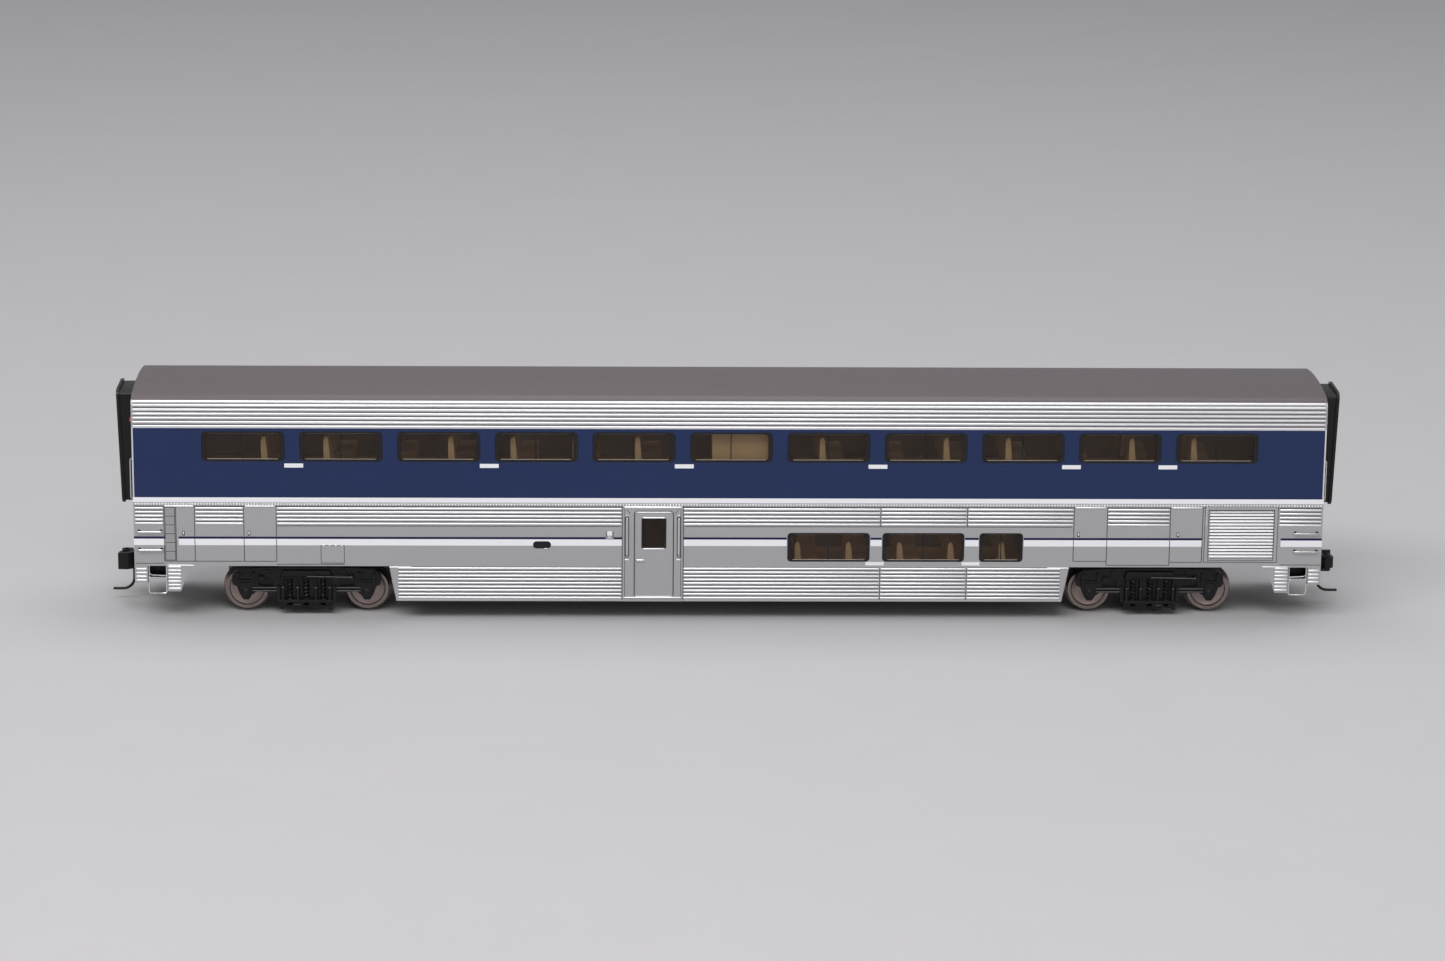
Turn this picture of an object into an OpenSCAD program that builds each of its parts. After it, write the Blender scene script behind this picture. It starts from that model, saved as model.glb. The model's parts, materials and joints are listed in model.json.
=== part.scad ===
// Bi-level railway passenger coach in HO scale (1:87.1), all sizes in millimetres.
// +X runs along the coach, the near side faces -Y, z = 0 is the plane under the wheel flanges.
// End A is the -X end and end B is the +X end.

/* [Body] */
// Length over the end walls
body_l = 291.4; // [290.8:0.1:292]
// Width over the flat part of the sides
body_w = 35.2; // [35:0.1:35.4]
// Height of the lower edge of the sides over the trucks
side_z = 13.7; // [13.6:0.1:13.8]
// Height of the lower edge of the skirt between the trucks
skirt_z = 4.8; // [4.6:0.1:5]
// Height where the sides begin to curve into the roof
eave_z = 53.4; // [53.2:0.1:53.6]
// Height of the roof crown
crown_z = 57.4; // [57.2:0.1:57.6]
// Radius of the shoulder between side and crown
shoulder_r = 3; // [2.6:0.1:3.4]
// Wall thickness of the body mouldings
wall = 1; // [0.9:0.05:1.1]

/* [Windows] */
// Number of upper windows on each side
upper_count = 11; // [9:2:11]
// Distance from one upper window to the next
upper_pitch = 23.77; // [23.6:0.01:23.8]
// Width of an upper window opening
upper_w = 19.7; // [19:0.1:20]
// Height of the lower edge of the upper windows
upper_z = 40.25; // [40:0.05:40.5]
// Height of an upper window opening
upper_h = 7.3; // [7:0.1:7.5]
// Height of the lower edge of the lower windows
lower_z = 15; // [14.8:0.1:15.4]
// Height of a lower window opening
lower_h = 7.35; // [7:0.05:7.5]
// Play between a pane and its opening
pane_gap = 0.08; // [0.05:0.01:0.12]

/* [Flutes] */
// Distance from one flute to the next
flute_pitch = 0.96; // [0.9:0.01:1]
// Height that a flute stands out from the side
flute_h = 0.2; // [0.15:0.01:0.25]

/* [Running gear] */
// Distance between the truck pivots
truck_span = 208.2; // [207.8:0.1:208.6]
// Distance between the two axles of a truck
wheelbase = 29.7; // [29.4:0.1:29.8]
// Diameter of the wheel tread
tread_d = 10.5; // [10.3:0.1:10.6]
// Height that the flange stands beyond the tread
flange_h = 0.7; // [0.6:0.05:0.75]
// Distance between the backs of the two wheels on an axle
back_to_back = 14.4; // [14.3:0.05:14.5]
// Length of an axle over its points
axle_l = 25.7; // [25.4:0.1:25.8]
// Diameter of the axle journals
journal_d = 1; // [0.9:0.05:1.1]
// Radial play in every bore that turns on a pin or journal
play = 0.07; // [0.05:0.01:0.09]

/* [Couplers] */
// Height of the coupler centre
coupler_z = 10.6; // [10.5:0.05:10.7]
// Distance from the centre of the coach to a coupler pivot
coupler_x = 140.8; // [140.6:0.1:141]
// Distance from the coupler pivot to the pulling face
coupler_reach = 10.7; // [10.6:0.1:10.8]

/* [Hidden] */

$fn = 32;
eps = 0.01;

// Colours
plated = [0.66, 0.67, 0.70];
roof_grey = [0.42, 0.40, 0.41];
black = [0.09, 0.09, 0.10];
tint = [0.30, 0.24, 0.18];
tan = [0.62, 0.47, 0.30];
steel = [0.70, 0.70, 0.72];
nickel = [0.55, 0.49, 0.46];
red = [0.60, 0.06, 0.05];

// Body outline
half_l = body_l / 2;
half_w = body_w / 2;
shoulder_y = half_w - shoulder_r;
roof_rise = crown_z - eave_z;
crown_r = (shoulder_r * shoulder_r - shoulder_y * shoulder_y - roof_rise * roof_rise)
    / (2 * (shoulder_r - roof_rise));
join_a = atan2(crown_r - roof_rise, shoulder_y);
seam_a = 41;
seam_gap_a = 1;
shoulder_steps = 6;
crown_steps = 16;

// Skirt and step corners, as distances from the centre of the coach
skirt_top_x = 83.5;
skirt_low_x = 81.8;
step_slope_x = 131;
step_in_x = 134.5;
step_out_x = 137.7;
well_out_x = 142.5;
step_low_z = 7.2;
corner_low_z = 9.3;

// Side door
door_x = -18.7;
door_w = 9.8;
door_z = 5.6;
door_top_z = 28;
door_frame = [-26.7, -11.3];
door_frame_top_z = 29.2;
frame_h = 0.12;
pane_w = 5.4;
pane_z = 18.4;
pane_h = 7.3;
leaf_recess = 0.35;
pane_sets = [[14.05, 34.3], [37.36, 57.56], [61.21, 71.98]];

// Grille
grille = [117.65, 133.4];
grille_frame = [116.1, 135.4];
grille_z = [16.05, 27.8];
grille_frame_z = [15, 29.5];
louvre_count = 16;
louvre_angle = 25;

// Fluted stretches of the sides, each as [first x, last x]
mid_flutes = [[-145.4, -138.4], [-130.7, -118.9], [-110.9, -26.9], [-11.1, 36.8],
    [37, 58.1], [58.3, 84], [92.5, 107.4], [135.6, 145.4]];
low_flutes = [[-80.3, -26.9], [-11.1, 36.8], [37, 58.1], [58.3, 80.3]];
upper_flute_z = 48.95;
upper_flute_pitch = 1.04;
shoulder_flutes = [14, 32];
mid_flute_z = 24.6;
low_flute_z = 5.85;
step_flute_z = 7.9;
corner_flute_z = 10;
flute_base = 0.05;
flute_root = 0.42;
flute_crest = 0.2;

// Interior levels
deck_z = 32;
deck_t = 1;
floor_z = 5.2;
floor_t = 1.4;
end_floor_z = 14.2;
lower_deck_z = 8.6;
seat_first = 22.6;
seat_pitch = 15.2;
seat_rows = 7;
lower_seat_first = 17.5;
lower_seat_pitch = 12.6;
lower_seat_rows = 5;

// Gangway
sleeve_y = 6.5;
sleeve_z = [27.2, 54.7];
sleeve_t = 0.8;
sleeve_in_x = 143.9;
sleeve_play = 0.2;
plate_y = 7;
plate_z = [26.8, 55.3];
plate_t = 0.8;
plate_low_x = 149.5;
plate_top_x = 150.4;
plate_corner_r = 1.6;
gangway_x = [140.6, 144.6];
gangway_wall = 0.9;
end_door_w = 8.4;

// Truck
truck_x = truck_span / 2;
axle_z = tread_d / 2 + flange_h;
kingpin_d = 3;
bolster_z = 9.5;
bolster_top_z = 13.2;
pad_z = 13.4;
frame_in_y = 11.7;
frame_t = 1.9;
frame_top_z = 12.3;
tread_w = 2.1;
flange_t = 0.8;
axle_d = 2;
hub_d = 3.4;

// Coupler
pocket_x = [136.2, 146.2];
pocket_half_w = 3.6;
pocket_in_w = 3;
pocket_z = [coupler_z - 0.8, coupler_z + 1.7];
pocket_floor = 0.8;
shank_z = [coupler_z - 0.6, coupler_z + 0.7];
post_d = 2.6;
coupler_screw_d = 1.4;
head_z = [coupler_z - 2.1, coupler_z + 2.1];
lug_t = 0.7;
knuckle_pin = [9, -1.7];
knuckle_pin_d = 0.9;
trip_r = 2.8;
trip_drop = 5.3;
trip_reach = 5.3;
trip_d = 0.7;
trip_x = 6.9;

// Screws and the bosses that they bite into
boss_x = 111.5;
boss_y = 14.4;
boss_d = 3.6;
boss_h = 8;
boss_rib = 0.6;
floor_screw_d = 1.9;
head_d = 3.6;
head_h = 0.9;
kingpin_head_z = 8.3;
slot_w = 0.4;

// Lips behind the door leaves and the grilles, clear of the floor
lip_t = 0.5;
lip_w = 0.8;
lip_gap = 0.05;

// Wire rails, grabs and steps, and the holes that they are pressed into
rail_off = 0.75;
rail_d = 0.45;
rail_x = [-25.3, -12.6];
rail_z = [16, 26.8];
grab_d = 0.4;
grab_x = [138.7, 144.7];
grab_z = [17.9, 22.5];
end_grab_y = 14.5;
end_grab_z = [30, 40];
wire_root = 0.3;
hole_play = 0.02;
stirrup_z = [6.6, 10.5];
stirrup_x = [step_out_x + 0.25, well_out_x - 0.25];
stirrup_y = half_w - wall / 2;
stirrup_root = 0.8;
well_depth = 3.2;
well_t = 0.6;

// Lamps
lamp_d = 2.2;
lamp_y = 13.2;
lamp_z = 49.5;
lamp_set = 0.5;
lamp_out = 0.8;
lamp_box = [-30.3, 21.1];
lamp_box_size = [1.5, 1.8];

// Floor, stairs and ballast
drop_x = 80.6;
floor_y = half_w - wall - 0.15;
stair_x = [-4.5, 9.2];
well_y = [2, 11];
stair_count = 8;
bulkhead_y = 15;
bulkhead_top_z = 50;
bar_x = [88, 121];
bar_y = [4.4, 11.8];
bar_h = 4;
plate_half_x = 66;
plate_half_y = 13;
end_pane = [3.2, 6.5, 44];

// Springs
coil_steps = 9;
wire_sides = 5;
spring_z = 41;
lug_y = 5;
lug_size = 1.5;

// Truck details
spring_x = [-5.6, -3.4, 2.6, 5.2];
spring_d = 1.5;
plank_z = 1.5;
bush_d = 2.8;
box_half = 1.7;
rod_d = 0.4;
rod_out = 0.9;

// Curve of the step corners
step_curve = 1.7;
step_curve_steps = 6;

// ---- Helpers ----

module both_sides() { children(); mirror([0, 1, 0]) children(); }
module both_ends() { children(); mirror([1, 0, 0]) children(); }
module four_corners() { both_ends() both_sides() children(); }

// Box from one corner to the opposite one
module block(low, high) { translate(low) cube(high - low); }

// Extrudes a (y, z) outline along X
module along_x(x0, x1) {
    translate([x0, 0, 0]) rotate([90, 0, 90]) linear_extrude(x1 - x0) children();
}

// Extrudes an (x, z) outline along Y, on the near side, between two distances from the middle
module along_y(y0, y1) {
    translate([0, -y0, 0]) rotate([90, 0, 0]) linear_extrude(y1 - y0) children();
}

function reversed(list) = [for (i = [len(list) - 1:-1:0]) list[i]];

// Corner points of a rectangle with rounded corners
function round_rect(x0, z0, x1, z1, r, n = 3) = [
    for (c = [[x1 - r, z1 - r, 0], [x0 + r, z1 - r, 90], [x0 + r, z0 + r, 180], [x1 - r, z0 + r, 270]])
    for (i = [0:n]) [c[0] + r * cos(c[2] + 90 * i / n), c[1] + r * sin(c[2] + 90 * i / n)]];

// Half of the roof line, from angle a on the shoulder to the crown, moved in by t
function half_line(a, t) = concat(
    [for (i = [0:shoulder_steps]) let (s = a + (join_a - a) * i / shoulder_steps)
        [shoulder_y + (shoulder_r - t) * cos(s), eave_z + (shoulder_r - t) * sin(s)]],
    [for (i = [1:crown_steps / 2]) let (s = join_a + (90 - join_a) * 2 * i / crown_steps)
        [(crown_r - t) * cos(s), crown_z - crown_r + (crown_r - t) * sin(s)]]);
function flipped(list) = [for (p = reversed(list)) if (p[0] > eps) [-p[0], p[1]]];
function roof_line(a, t) = concat(half_line(a, t), flipped(half_line(a, t)));

// Shoulder points between two angles, moved in by t
function shoulder(a0, a1, t) = [for (i = [0:shoulder_steps])
    let (s = a0 + (a1 - a0) * i / shoulder_steps)
    [shoulder_y + (shoulder_r - t) * cos(s), eave_z + (shoulder_r - t) * sin(s)]];

// Round wire between two points on a straight line
module rod(a, b, d) {
    v = b - a;
    len = norm(v);
    translate(a) rotate([0, acos(v[2] / len), atan2(v[1], v[0])]) cylinder(d = d, h = len);
}

// Coil spring along Z: a wire of few sides swept round its turns
module coil(turns, mean_d, wire_d, length) {
    rings = turns * coil_steps;
    points = [for (i = [0:rings], k = [0:wire_sides - 1])
        let (a = 360 * i / coil_steps, b = 360 * k / wire_sides,
            r = mean_d / 2 + wire_d / 2 * cos(b))
        [r * cos(a), r * sin(a), wire_d / 2 + (length - wire_d) * i / rings + wire_d / 2 * sin(b)]];
    walls = [for (i = [0:rings - 1], k = [0:wire_sides - 1])
        let (a = i * wire_sides + k, b = i * wire_sides + (k + 1) % wire_sides)
        each [[a, b, b + wire_sides], [a, b + wire_sides, a + wire_sides]]];
    ends = [[for (k = [wire_sides - 1:-1:0]) k], [for (k = [0:wire_sides - 1]) rings * wire_sides + k]];
    polyhedron(points, concat(walls, ends));
}

// Bank of flutes on the near side: one outline with a crest for each flute
module flute_bank(x0, x1, z0, count, pitch = flute_pitch) {
    crests = [for (i = [0:count - 1], p = [[flute_base, -flute_root], [flute_h, -flute_crest],
        [flute_h, flute_crest], [flute_base, flute_root]])
        [-half_w - p[0], z0 + i * pitch + p[1] * pitch]];
    back = half_w - wall / 2;
    along_x(x0, x1) polygon(concat([[-back, crests[0][1]]], crests,
        [[-back, crests[len(crests) - 1][1]]]));
}

// One flute on the curved shoulder of the near side, at angle a above the level of the eave
module shoulder_flute(x0, x1, a) {
    along_x(x0, x1) translate([-shoulder_y, eave_z]) rotate(-a) polygon([
        for (p = [[-0.4, -flute_root], [flute_base, -flute_root], [flute_h, -flute_crest],
            [flute_h, flute_crest], [flute_base, flute_root], [-0.4, flute_root]])
            [-shoulder_r - p[0], p[1] * flute_pitch]]);
}

// ---- Body mouldings ----

// Outline of one side, with its skirt and step corners
module side_outline() {
    curve = [for (i = [step_curve_steps:-1:0]) let (t = i / step_curve_steps)
        [step_slope_x + (step_in_x - step_slope_x) * t,
            side_z - (side_z - step_low_z) * pow(t, step_curve)]];
    half = concat([[half_l, eave_z], [half_l, corner_low_z], [well_out_x, corner_low_z],
        [well_out_x, side_z], [step_out_x, side_z], [step_out_x, step_low_z]], curve,
        [[skirt_top_x, side_z], [skirt_low_x, skirt_z]]);
    polygon(concat(half, [for (p = reversed(half)) [-p[0], p[1]]]));
}

module upper_opening(gap) {
    for (i = [0:upper_count - 1]) {
        x = (i - (upper_count - 1) / 2) * upper_pitch;
        polygon(round_rect(x - upper_w / 2 + gap, upper_z + gap,
            x + upper_w / 2 - gap, upper_z + upper_h - gap, 0.9));
    }
}

module lower_opening(gap) {
    for (s = pane_sets)
        polygon(round_rect(s[0] + gap, lower_z + gap, s[1] - gap, lower_z + lower_h - gap, 0.7));
}

module door_opening(gap) {
    polygon(round_rect(door_x - door_w / 2 + gap, door_z + gap,
        door_x + door_w / 2 - gap, door_top_z - gap, 1));
}

module grille_opening(gap) {
    translate([grille[0] + gap, grille_z[0] + gap])
        square([grille[1] - grille[0] - 2 * gap, grille_z[1] - grille_z[0] - 2 * gap]);
}

// Smooth raised surround of the side door, with a drip cap, and of the grille
module side_frames_raised() {
    along_y(half_w - 0.2, half_w + frame_h) translate([door_frame[0], door_z])
        square([door_frame[1] - door_frame[0], door_frame_top_z - door_z]);
    along_y(half_w - 0.2, half_w + 0.35) translate([door_frame[0] + 1, door_frame_top_z - 0.8])
        square([door_frame[1] - door_frame[0] - 2, 0.5]);
    along_y(half_w - 0.2, half_w + frame_h) translate([grille_frame[0], grille_frame_z[0]])
        square([grille_frame[1] - grille_frame[0], grille_frame_z[1] - grille_frame_z[0]]);
}

module side_wire_hole(x, z, d) {
    translate([x, -half_w + 2 * wall, z]) rotate([90, 0, 0]) cylinder(d = d + hole_play, h = 3 * wall);
}

module side_wall() {
    difference() {
        union() {
            along_y(half_w - wall, half_w) side_outline();
            side_frames_raised();
        }
        along_y(half_w - 2 * wall, half_w + wall) {
            upper_opening(0);
            lower_opening(0);
            door_opening(0);
            grille_opening(0);
        }
        for (x = rail_x, z = rail_z) side_wire_hole(x, z, rail_d);
        both_ends() {
            for (x = grab_x, z = grab_z) side_wire_hole(x, z, grab_d);
            for (x = stirrup_x) translate([x, -stirrup_y, side_z - wall])
                cylinder(d = rail_d + hole_play, h = wall + stirrup_root + eps);
        }
    }
}

module side_flutes() {
    flute_bank(-half_l + 0.3, half_l - 0.3, upper_flute_z, 5, upper_flute_pitch);
    for (a = shoulder_flutes) shoulder_flute(-half_l + 0.3, half_l - 0.3, a);
    for (s = mid_flutes) flute_bank(s[0], s[1], mid_flute_z, 5);
    for (s = low_flutes) flute_bank(s[0], s[1], low_flute_z, 9, 0.93);
    both_ends() {
        flute_bank(step_in_x + 0.1, step_out_x - 0.1, step_flute_z, 7);
        flute_bank(well_out_x + 0.1, half_l - 0.3, corner_flute_z, 4);
    }
}

// Curved top of a side, from the eave up to the roof seam
module shoulder_rail() {
    top_a = seam_a - seam_gap_a;
    along_x(-half_l, half_l) polygon([for (p = concat(
        [[half_w, eave_z - wall]], shoulder(0, top_a, 0), reversed(shoulder(0, top_a, wall)),
        [[half_w - wall, eave_z - wall]])) [-p[0], p[1]]]);
}

module end_wall() {
    outline = concat([[half_w - wall / 2, side_z], [half_w - wall / 2, eave_z]],
        shoulder(0, seam_a - seam_gap_a, wall / 2));
    difference() {
        along_x(half_l - wall, half_l)
            polygon(concat(outline, [for (p = reversed(outline)) [-p[0], p[1]]]));
        along_x(half_l - 2 * wall, half_l + wall)
            translate([-sleeve_y - sleeve_play, sleeve_z[0] - sleeve_play])
                square([2 * (sleeve_y + sleeve_play), crown_z]);
        along_x(half_l - 2 * wall, half_l + wall)
            translate([-pocket_half_w - 0.4, 0]) square([2 * pocket_half_w + 0.8, side_z + 0.5]);
        both_sides() {
            for (z = end_grab_z) translate([half_l - 2 * wall, -end_grab_y, z])
                rotate([0, 90, 0]) cylinder(d = grab_d + hole_play, h = 3 * wall);
            translate([half_l - lamp_set, -lamp_y, lamp_z])
                rotate([0, 90, 0]) cylinder(d = lamp_d + hole_play, h = wall);
        }
    }
}

// Bosses that the floor screws bite into
module screw_bosses() {
    low = end_floor_z + floor_t;
    four_corners() difference() {
        union() {
            translate([boss_x, -boss_y, low]) cylinder(d = boss_d, h = boss_h);
            block([boss_x - boss_rib, -half_w + wall / 2, low],
                [boss_x + boss_rib, -boss_y - boss_d / 3, low + boss_h]);
        }
        translate([boss_x, -boss_y, end_floor_z]) cylinder(d = floor_screw_d + 0.1, h = boss_h);
    }
}

module body_shell() {
    color(plated) {
        both_sides() {
            side_wall();
            side_flutes();
            shoulder_rail();
        }
        both_ends() end_wall();
        screw_bosses();
    }
}

module roof() {
    notch_y = sleeve_y + sleeve_play;
    color(roof_grey) {
        along_x(-half_l, half_l)
            polygon(concat(roof_line(seam_a, 0), reversed(roof_line(seam_a, wall))));
        both_ends() difference() {
            along_x(half_l - wall, half_l) polygon(roof_line(seam_a, wall / 2));
            along_x(half_l - 2 * wall, half_l + wall)
                translate([-notch_y, 0]) square([2 * notch_y, plate_z[1] + 0.3]);
        }
    }
}

// Tinted strip behind the wall, with a pane that plugs each opening
module glazing(x0, x1, z0, z1) {
    color(tint) {
        along_y(half_w - wall - 0.7, half_w - wall - eps) translate([x0, z0]) square([x1 - x0, z1 - z0]);
        along_y(half_w - wall - 0.1, half_w - 0.25) children();
    }
}

module upper_glazing_near() {
    reach = upper_pitch * (upper_count - 1) / 2 + upper_w / 2 + 1;
    glazing(-reach, reach, upper_z - 1, upper_z + upper_h + 1) upper_opening(pane_gap);
}

module lower_glazing_near() {
    glazing(pane_sets[0][0] - 1, pane_sets[2][1] + 1, lower_z - 1, lower_z + lower_h + 1)
        lower_opening(pane_gap);
}

module door_pane_outline(gap) {
    polygon(round_rect(door_x - pane_w / 2 + gap, pane_z + gap,
        door_x + pane_w / 2 - gap, pane_z + pane_h - gap, 0.5));
}

module side_doors() {
    color(plated) both_sides() difference() {
        union() {
            along_y(half_w - wall, half_w - leaf_recess) door_opening(pane_gap);
            along_y(half_w - wall - lip_t, half_w - wall - eps)
                translate([door_x - door_w / 2 - lip_w, floor_z + floor_t + lip_gap])
                    square([door_w + 2 * lip_w, door_top_z + lip_w - floor_z - floor_t - lip_gap]);
        }
        along_y(half_w - 3 * wall, half_w + wall) door_pane_outline(0);
    }
}

module door_panes() {
    color(tint) {
        both_sides() along_y(half_w - wall - lip_t, half_w - leaf_recess - 0.1) door_pane_outline(pane_gap);
        both_ends() block(
            [gangway_x[0] + 1.1, -end_pane[0] / 2 + pane_gap, end_pane[2] + pane_gap],
            [gangway_x[0] + 1.6, end_pane[0] / 2 - pane_gap, end_pane[2] + end_pane[1] - pane_gap]);
    }
}

module end_doors() {
    color(plated) both_ends() difference() {
        block([gangway_x[0] + 1, -end_door_w / 2, deck_z + 0.2], [gangway_x[0] + 1.8, end_door_w / 2, 53]);
        block([gangway_x[0], -end_pane[0] / 2, end_pane[2]],
            [gangway_x[1], end_pane[0] / 2, end_pane[2] + end_pane[1]]);
    }
}

// Fixed guide behind each end wall, which the diaphragm sleeve slides in
module gangway_frames() {
    inner_y = sleeve_y + sleeve_play;
    low = sleeve_z[0] - sleeve_play;
    high = sleeve_z[1] + sleeve_play;
    color(black) both_ends() difference() {
        block([gangway_x[0], -inner_y - gangway_wall, low - gangway_wall],
            [gangway_x[1], inner_y + gangway_wall, high + gangway_wall]);
        block([gangway_x[0] + 1, -inner_y, low], [gangway_x[1] + 1, inner_y, high]);
        block([gangway_x[0] - 1, -3, deck_z + 1], [gangway_x[0] + 2, 3, 52]);
    }
}

module louvre_grilles() {
    rim = 0.7;
    step = (grille_z[1] - grille_z[0] - 2 * rim) / louvre_count;
    color(plated) both_sides() {
        along_y(half_w - wall - lip_t, half_w - 0.1) difference() {
            grille_opening(pane_gap);
            grille_opening(rim);
        }
        for (i = [0:louvre_count - 1])
            translate([(grille[0] + grille[1]) / 2, -half_w + 0.75,
                grille_z[0] + rim + (i + 0.5) * step])
                rotate([louvre_angle, 0, 0])
                    cube([grille[1] - grille[0] - 2 * rim + 0.2, 0.8, 0.3], center = true);
        along_y(half_w - wall - lip_t, half_w - wall - eps)
            grille_opening(end_floor_z + floor_t + lip_gap - grille_z[0]);
    }
}

// ---- Wire details ----

module door_handrails() {
    y = half_w + rail_off;
    color(steel) both_sides() for (x = rail_x) {
        rod([x, -y, rail_z[0]], [x, -y, rail_z[1]], rail_d);
        for (z = rail_z) rod([x, -half_w + wire_root, z], [x, -y, z], rail_d);
    }
}

module grab_irons() {
    y = half_w + rail_off;
    end_x = half_l + rail_off;
    color(steel) four_corners() {
        for (z = grab_z) {
            rod([grab_x[0], -y, z], [grab_x[1], -y, z], grab_d);
            for (x = grab_x) rod([x, -half_w + wire_root, z], [x, -y, z], grab_d);
        }
        for (z = end_grab_z) rod([half_l - wire_root, -end_grab_y, z], [end_x, -end_grab_y, z], grab_d);
        rod([end_x, -end_grab_y, end_grab_z[0]], [end_x, -end_grab_y, end_grab_z[1]], grab_d);
    }
}

module stirrup_steps() {
    color(steel) four_corners() {
        for (z = stirrup_z)
            rod([stirrup_x[0], -stirrup_y, z], [stirrup_x[1], -stirrup_y, z], rail_d);
        for (x = stirrup_x)
            rod([x, -stirrup_y, stirrup_z[0]], [x, -stirrup_y, side_z + stirrup_root], rail_d);
    }
}

module step_wells() {
    color(black) four_corners() difference() {
        block([step_out_x - 0.3, -half_w + wall, stirrup_z[1] + 0.1],
            [well_out_x + 0.4, -half_w + wall + well_depth, end_floor_z - eps]);
        block([step_out_x + 0.3, -half_w, stirrup_z[1] + well_t],
            [well_out_x - 0.2, -half_w + wall + well_depth - well_t, side_z - 0.2]);
    }
}

module marker_lamps() {
    color(red) four_corners() translate([half_l - lamp_set, -lamp_y, lamp_z])
        rotate([0, 90, 0]) cylinder(d = lamp_d, h = lamp_set + lamp_out);
    color("white") both_sides() along_y(half_w, half_w + lamp_out - 0.3)
        translate(lamp_box) square(lamp_box_size);
}

// ---- Floor and interior ----

module underframe() {
    top = end_floor_z + floor_t;
    post_h = 4;
    color(black) difference() {
        union() {
            block([-drop_x, -floor_y, floor_z], [drop_x, floor_y, floor_z + floor_t]);
            both_ends() {
                block([drop_x - 1.2, -floor_y, floor_z], [drop_x, floor_y, top]);
                block([drop_x - 1.2, -floor_y, end_floor_z], [half_l - wall - 0.1, floor_y, top]);
                translate([truck_x, 0, pad_z]) cylinder(d = 9, h = end_floor_z - pad_z + 0.5);
                translate([truck_x, 0, end_floor_z + 0.5]) cylinder(d = 6, h = floor_t + post_h);
                block([pocket_x[0] - 0.7, -pocket_half_w, pocket_z[1]],
                    [half_l - wall - 0.1, pocket_half_w, end_floor_z + 0.2]);
            }
        }
        both_ends() {
            translate([truck_x, 0, 0]) cylinder(d = kingpin_d - 0.9, h = top + post_h + 1);
            translate([coupler_x, 0, 0]) cylinder(d = coupler_screw_d + 0.1, h = end_floor_z + 1);
            both_sides() {
                translate([boss_x, -boss_y, 0]) cylinder(d = floor_screw_d + 0.3, h = crown_z / 2);
                translate([boss_x, -boss_y, end_floor_z - 1]) cylinder(d = head_d + 0.3, h = 1 + head_h);
            }
        }
    }
}

// Stairs run through an opening in the upper deck
module upper_deck() {
    reach = gangway_x[0] - 0.4;
    color(tan) difference() {
        block([-reach, -floor_y, deck_z], [reach, floor_y, deck_z + deck_t]);
        block([stair_x[0] - 12, well_y[0], deck_z - 1], [stair_x[1], well_y[1], deck_z + 3]);
    }
}

// One pair of seats with its back at x = 0, facing +X
module seat_pair(depth, back_h, base_h, y0, y1) {
    along_y(y0, y1) polygon([[-0.2, 0], [depth, 0], [depth, base_h], [0.7, base_h - 0.5],
        [-0.5, back_h], [-1.6, back_h - 0.4], [-0.9, base_h]]);
}

module upper_seats() {
    color(tan) both_sides() for (i = [0:seat_rows - 1]) {
        x = seat_first + i * seat_pitch;
        translate([x, 0, deck_z + deck_t]) seat_pair(5.4, 12.8, 4.6, 3.6, 14.8);
        translate([-x, 0, deck_z + deck_t]) seat_pair(5.4, 12.8, 4.6, 3.6, 14.8);
    }
}

module lower_deck() {
    reach = drop_x - 1.4;
    color(tan) block([-reach, -floor_y + 0.6, lower_deck_z], [reach, floor_y - 0.6, lower_deck_z + deck_t]);
}

module lower_seats() {
    color(tan) both_sides() for (i = [0:lower_seat_rows - 1])
        translate([lower_seat_first + i * lower_seat_pitch, 0, lower_deck_z + deck_t])
            seat_pair(4.8, 9.6, 4, 3.6, 14.4);
}

// Stair flight between the decks, and the bulkhead beside it on the upper deck
module stair_core() {
    rise = (deck_z + deck_t - lower_deck_z - deck_t) / stair_count;
    run = (stair_x[1] - stair_x[0] + 8) / stair_count;
    low = lower_deck_z + deck_t;
    top_x = stair_x[0] - 9;
    treads = [for (i = [0:stair_count - 1], s = [0, 1])
        [top_x + (stair_count - i - s) * run, low + (i + 1) * rise]];
    color(tan) {
        mirror([0, 1, 0]) along_y(well_y[0] + 0.4, well_y[1] - 0.4)
            polygon(concat([[top_x, low], [top_x + stair_count * run, low]], treads));
        block([stair_x[0], -bulkhead_y, deck_z + deck_t], [stair_x[1], well_y[0] - 0.3, bulkhead_top_z]);
    }
}

// Steel bars beside the kingpin posts, and one plate under the lower deck
module ballast_weights() {
    color(steel) {
        four_corners() block([bar_x[0], -bar_y[1], end_floor_z + floor_t],
            [bar_x[1], -bar_y[0], end_floor_z + floor_t + bar_h]);
        block([-plate_half_x, -plate_half_y, floor_z + floor_t], [plate_half_x, plate_half_y, lower_deck_z]);
    }
}

// ---- Fasteners ----

module floor_screws() {
    color(steel) four_corners() translate([boss_x, -boss_y, end_floor_z + eps]) {
        difference() {
            cylinder(d = head_d, h = head_h - 2 * eps);
            translate([-head_d, -slot_w / 2, -1]) cube([2 * head_d, slot_w, 1 + slot_w]);
        }
        cylinder(d = floor_screw_d, h = 7);
    }
}

// Shouldered screws: the head holds the bolster, the shoulder is what it turns on
module kingpin_screws() {
    color(steel) both_ends() translate([truck_x, 0, 0]) {
        difference() {
            translate([0, 0, kingpin_head_z]) cylinder(d = 5, h = 1.1);
            translate([-3, -0.3, kingpin_head_z - 1]) cube([6, 0.6, 1.5]);
        }
        translate([0, 0, kingpin_head_z + 1]) cylinder(d = kingpin_d, h = pad_z - kingpin_head_z - 1);
        translate([0, 0, pad_z - eps]) cylinder(d = kingpin_d - 1, h = 5);
    }
}

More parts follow.
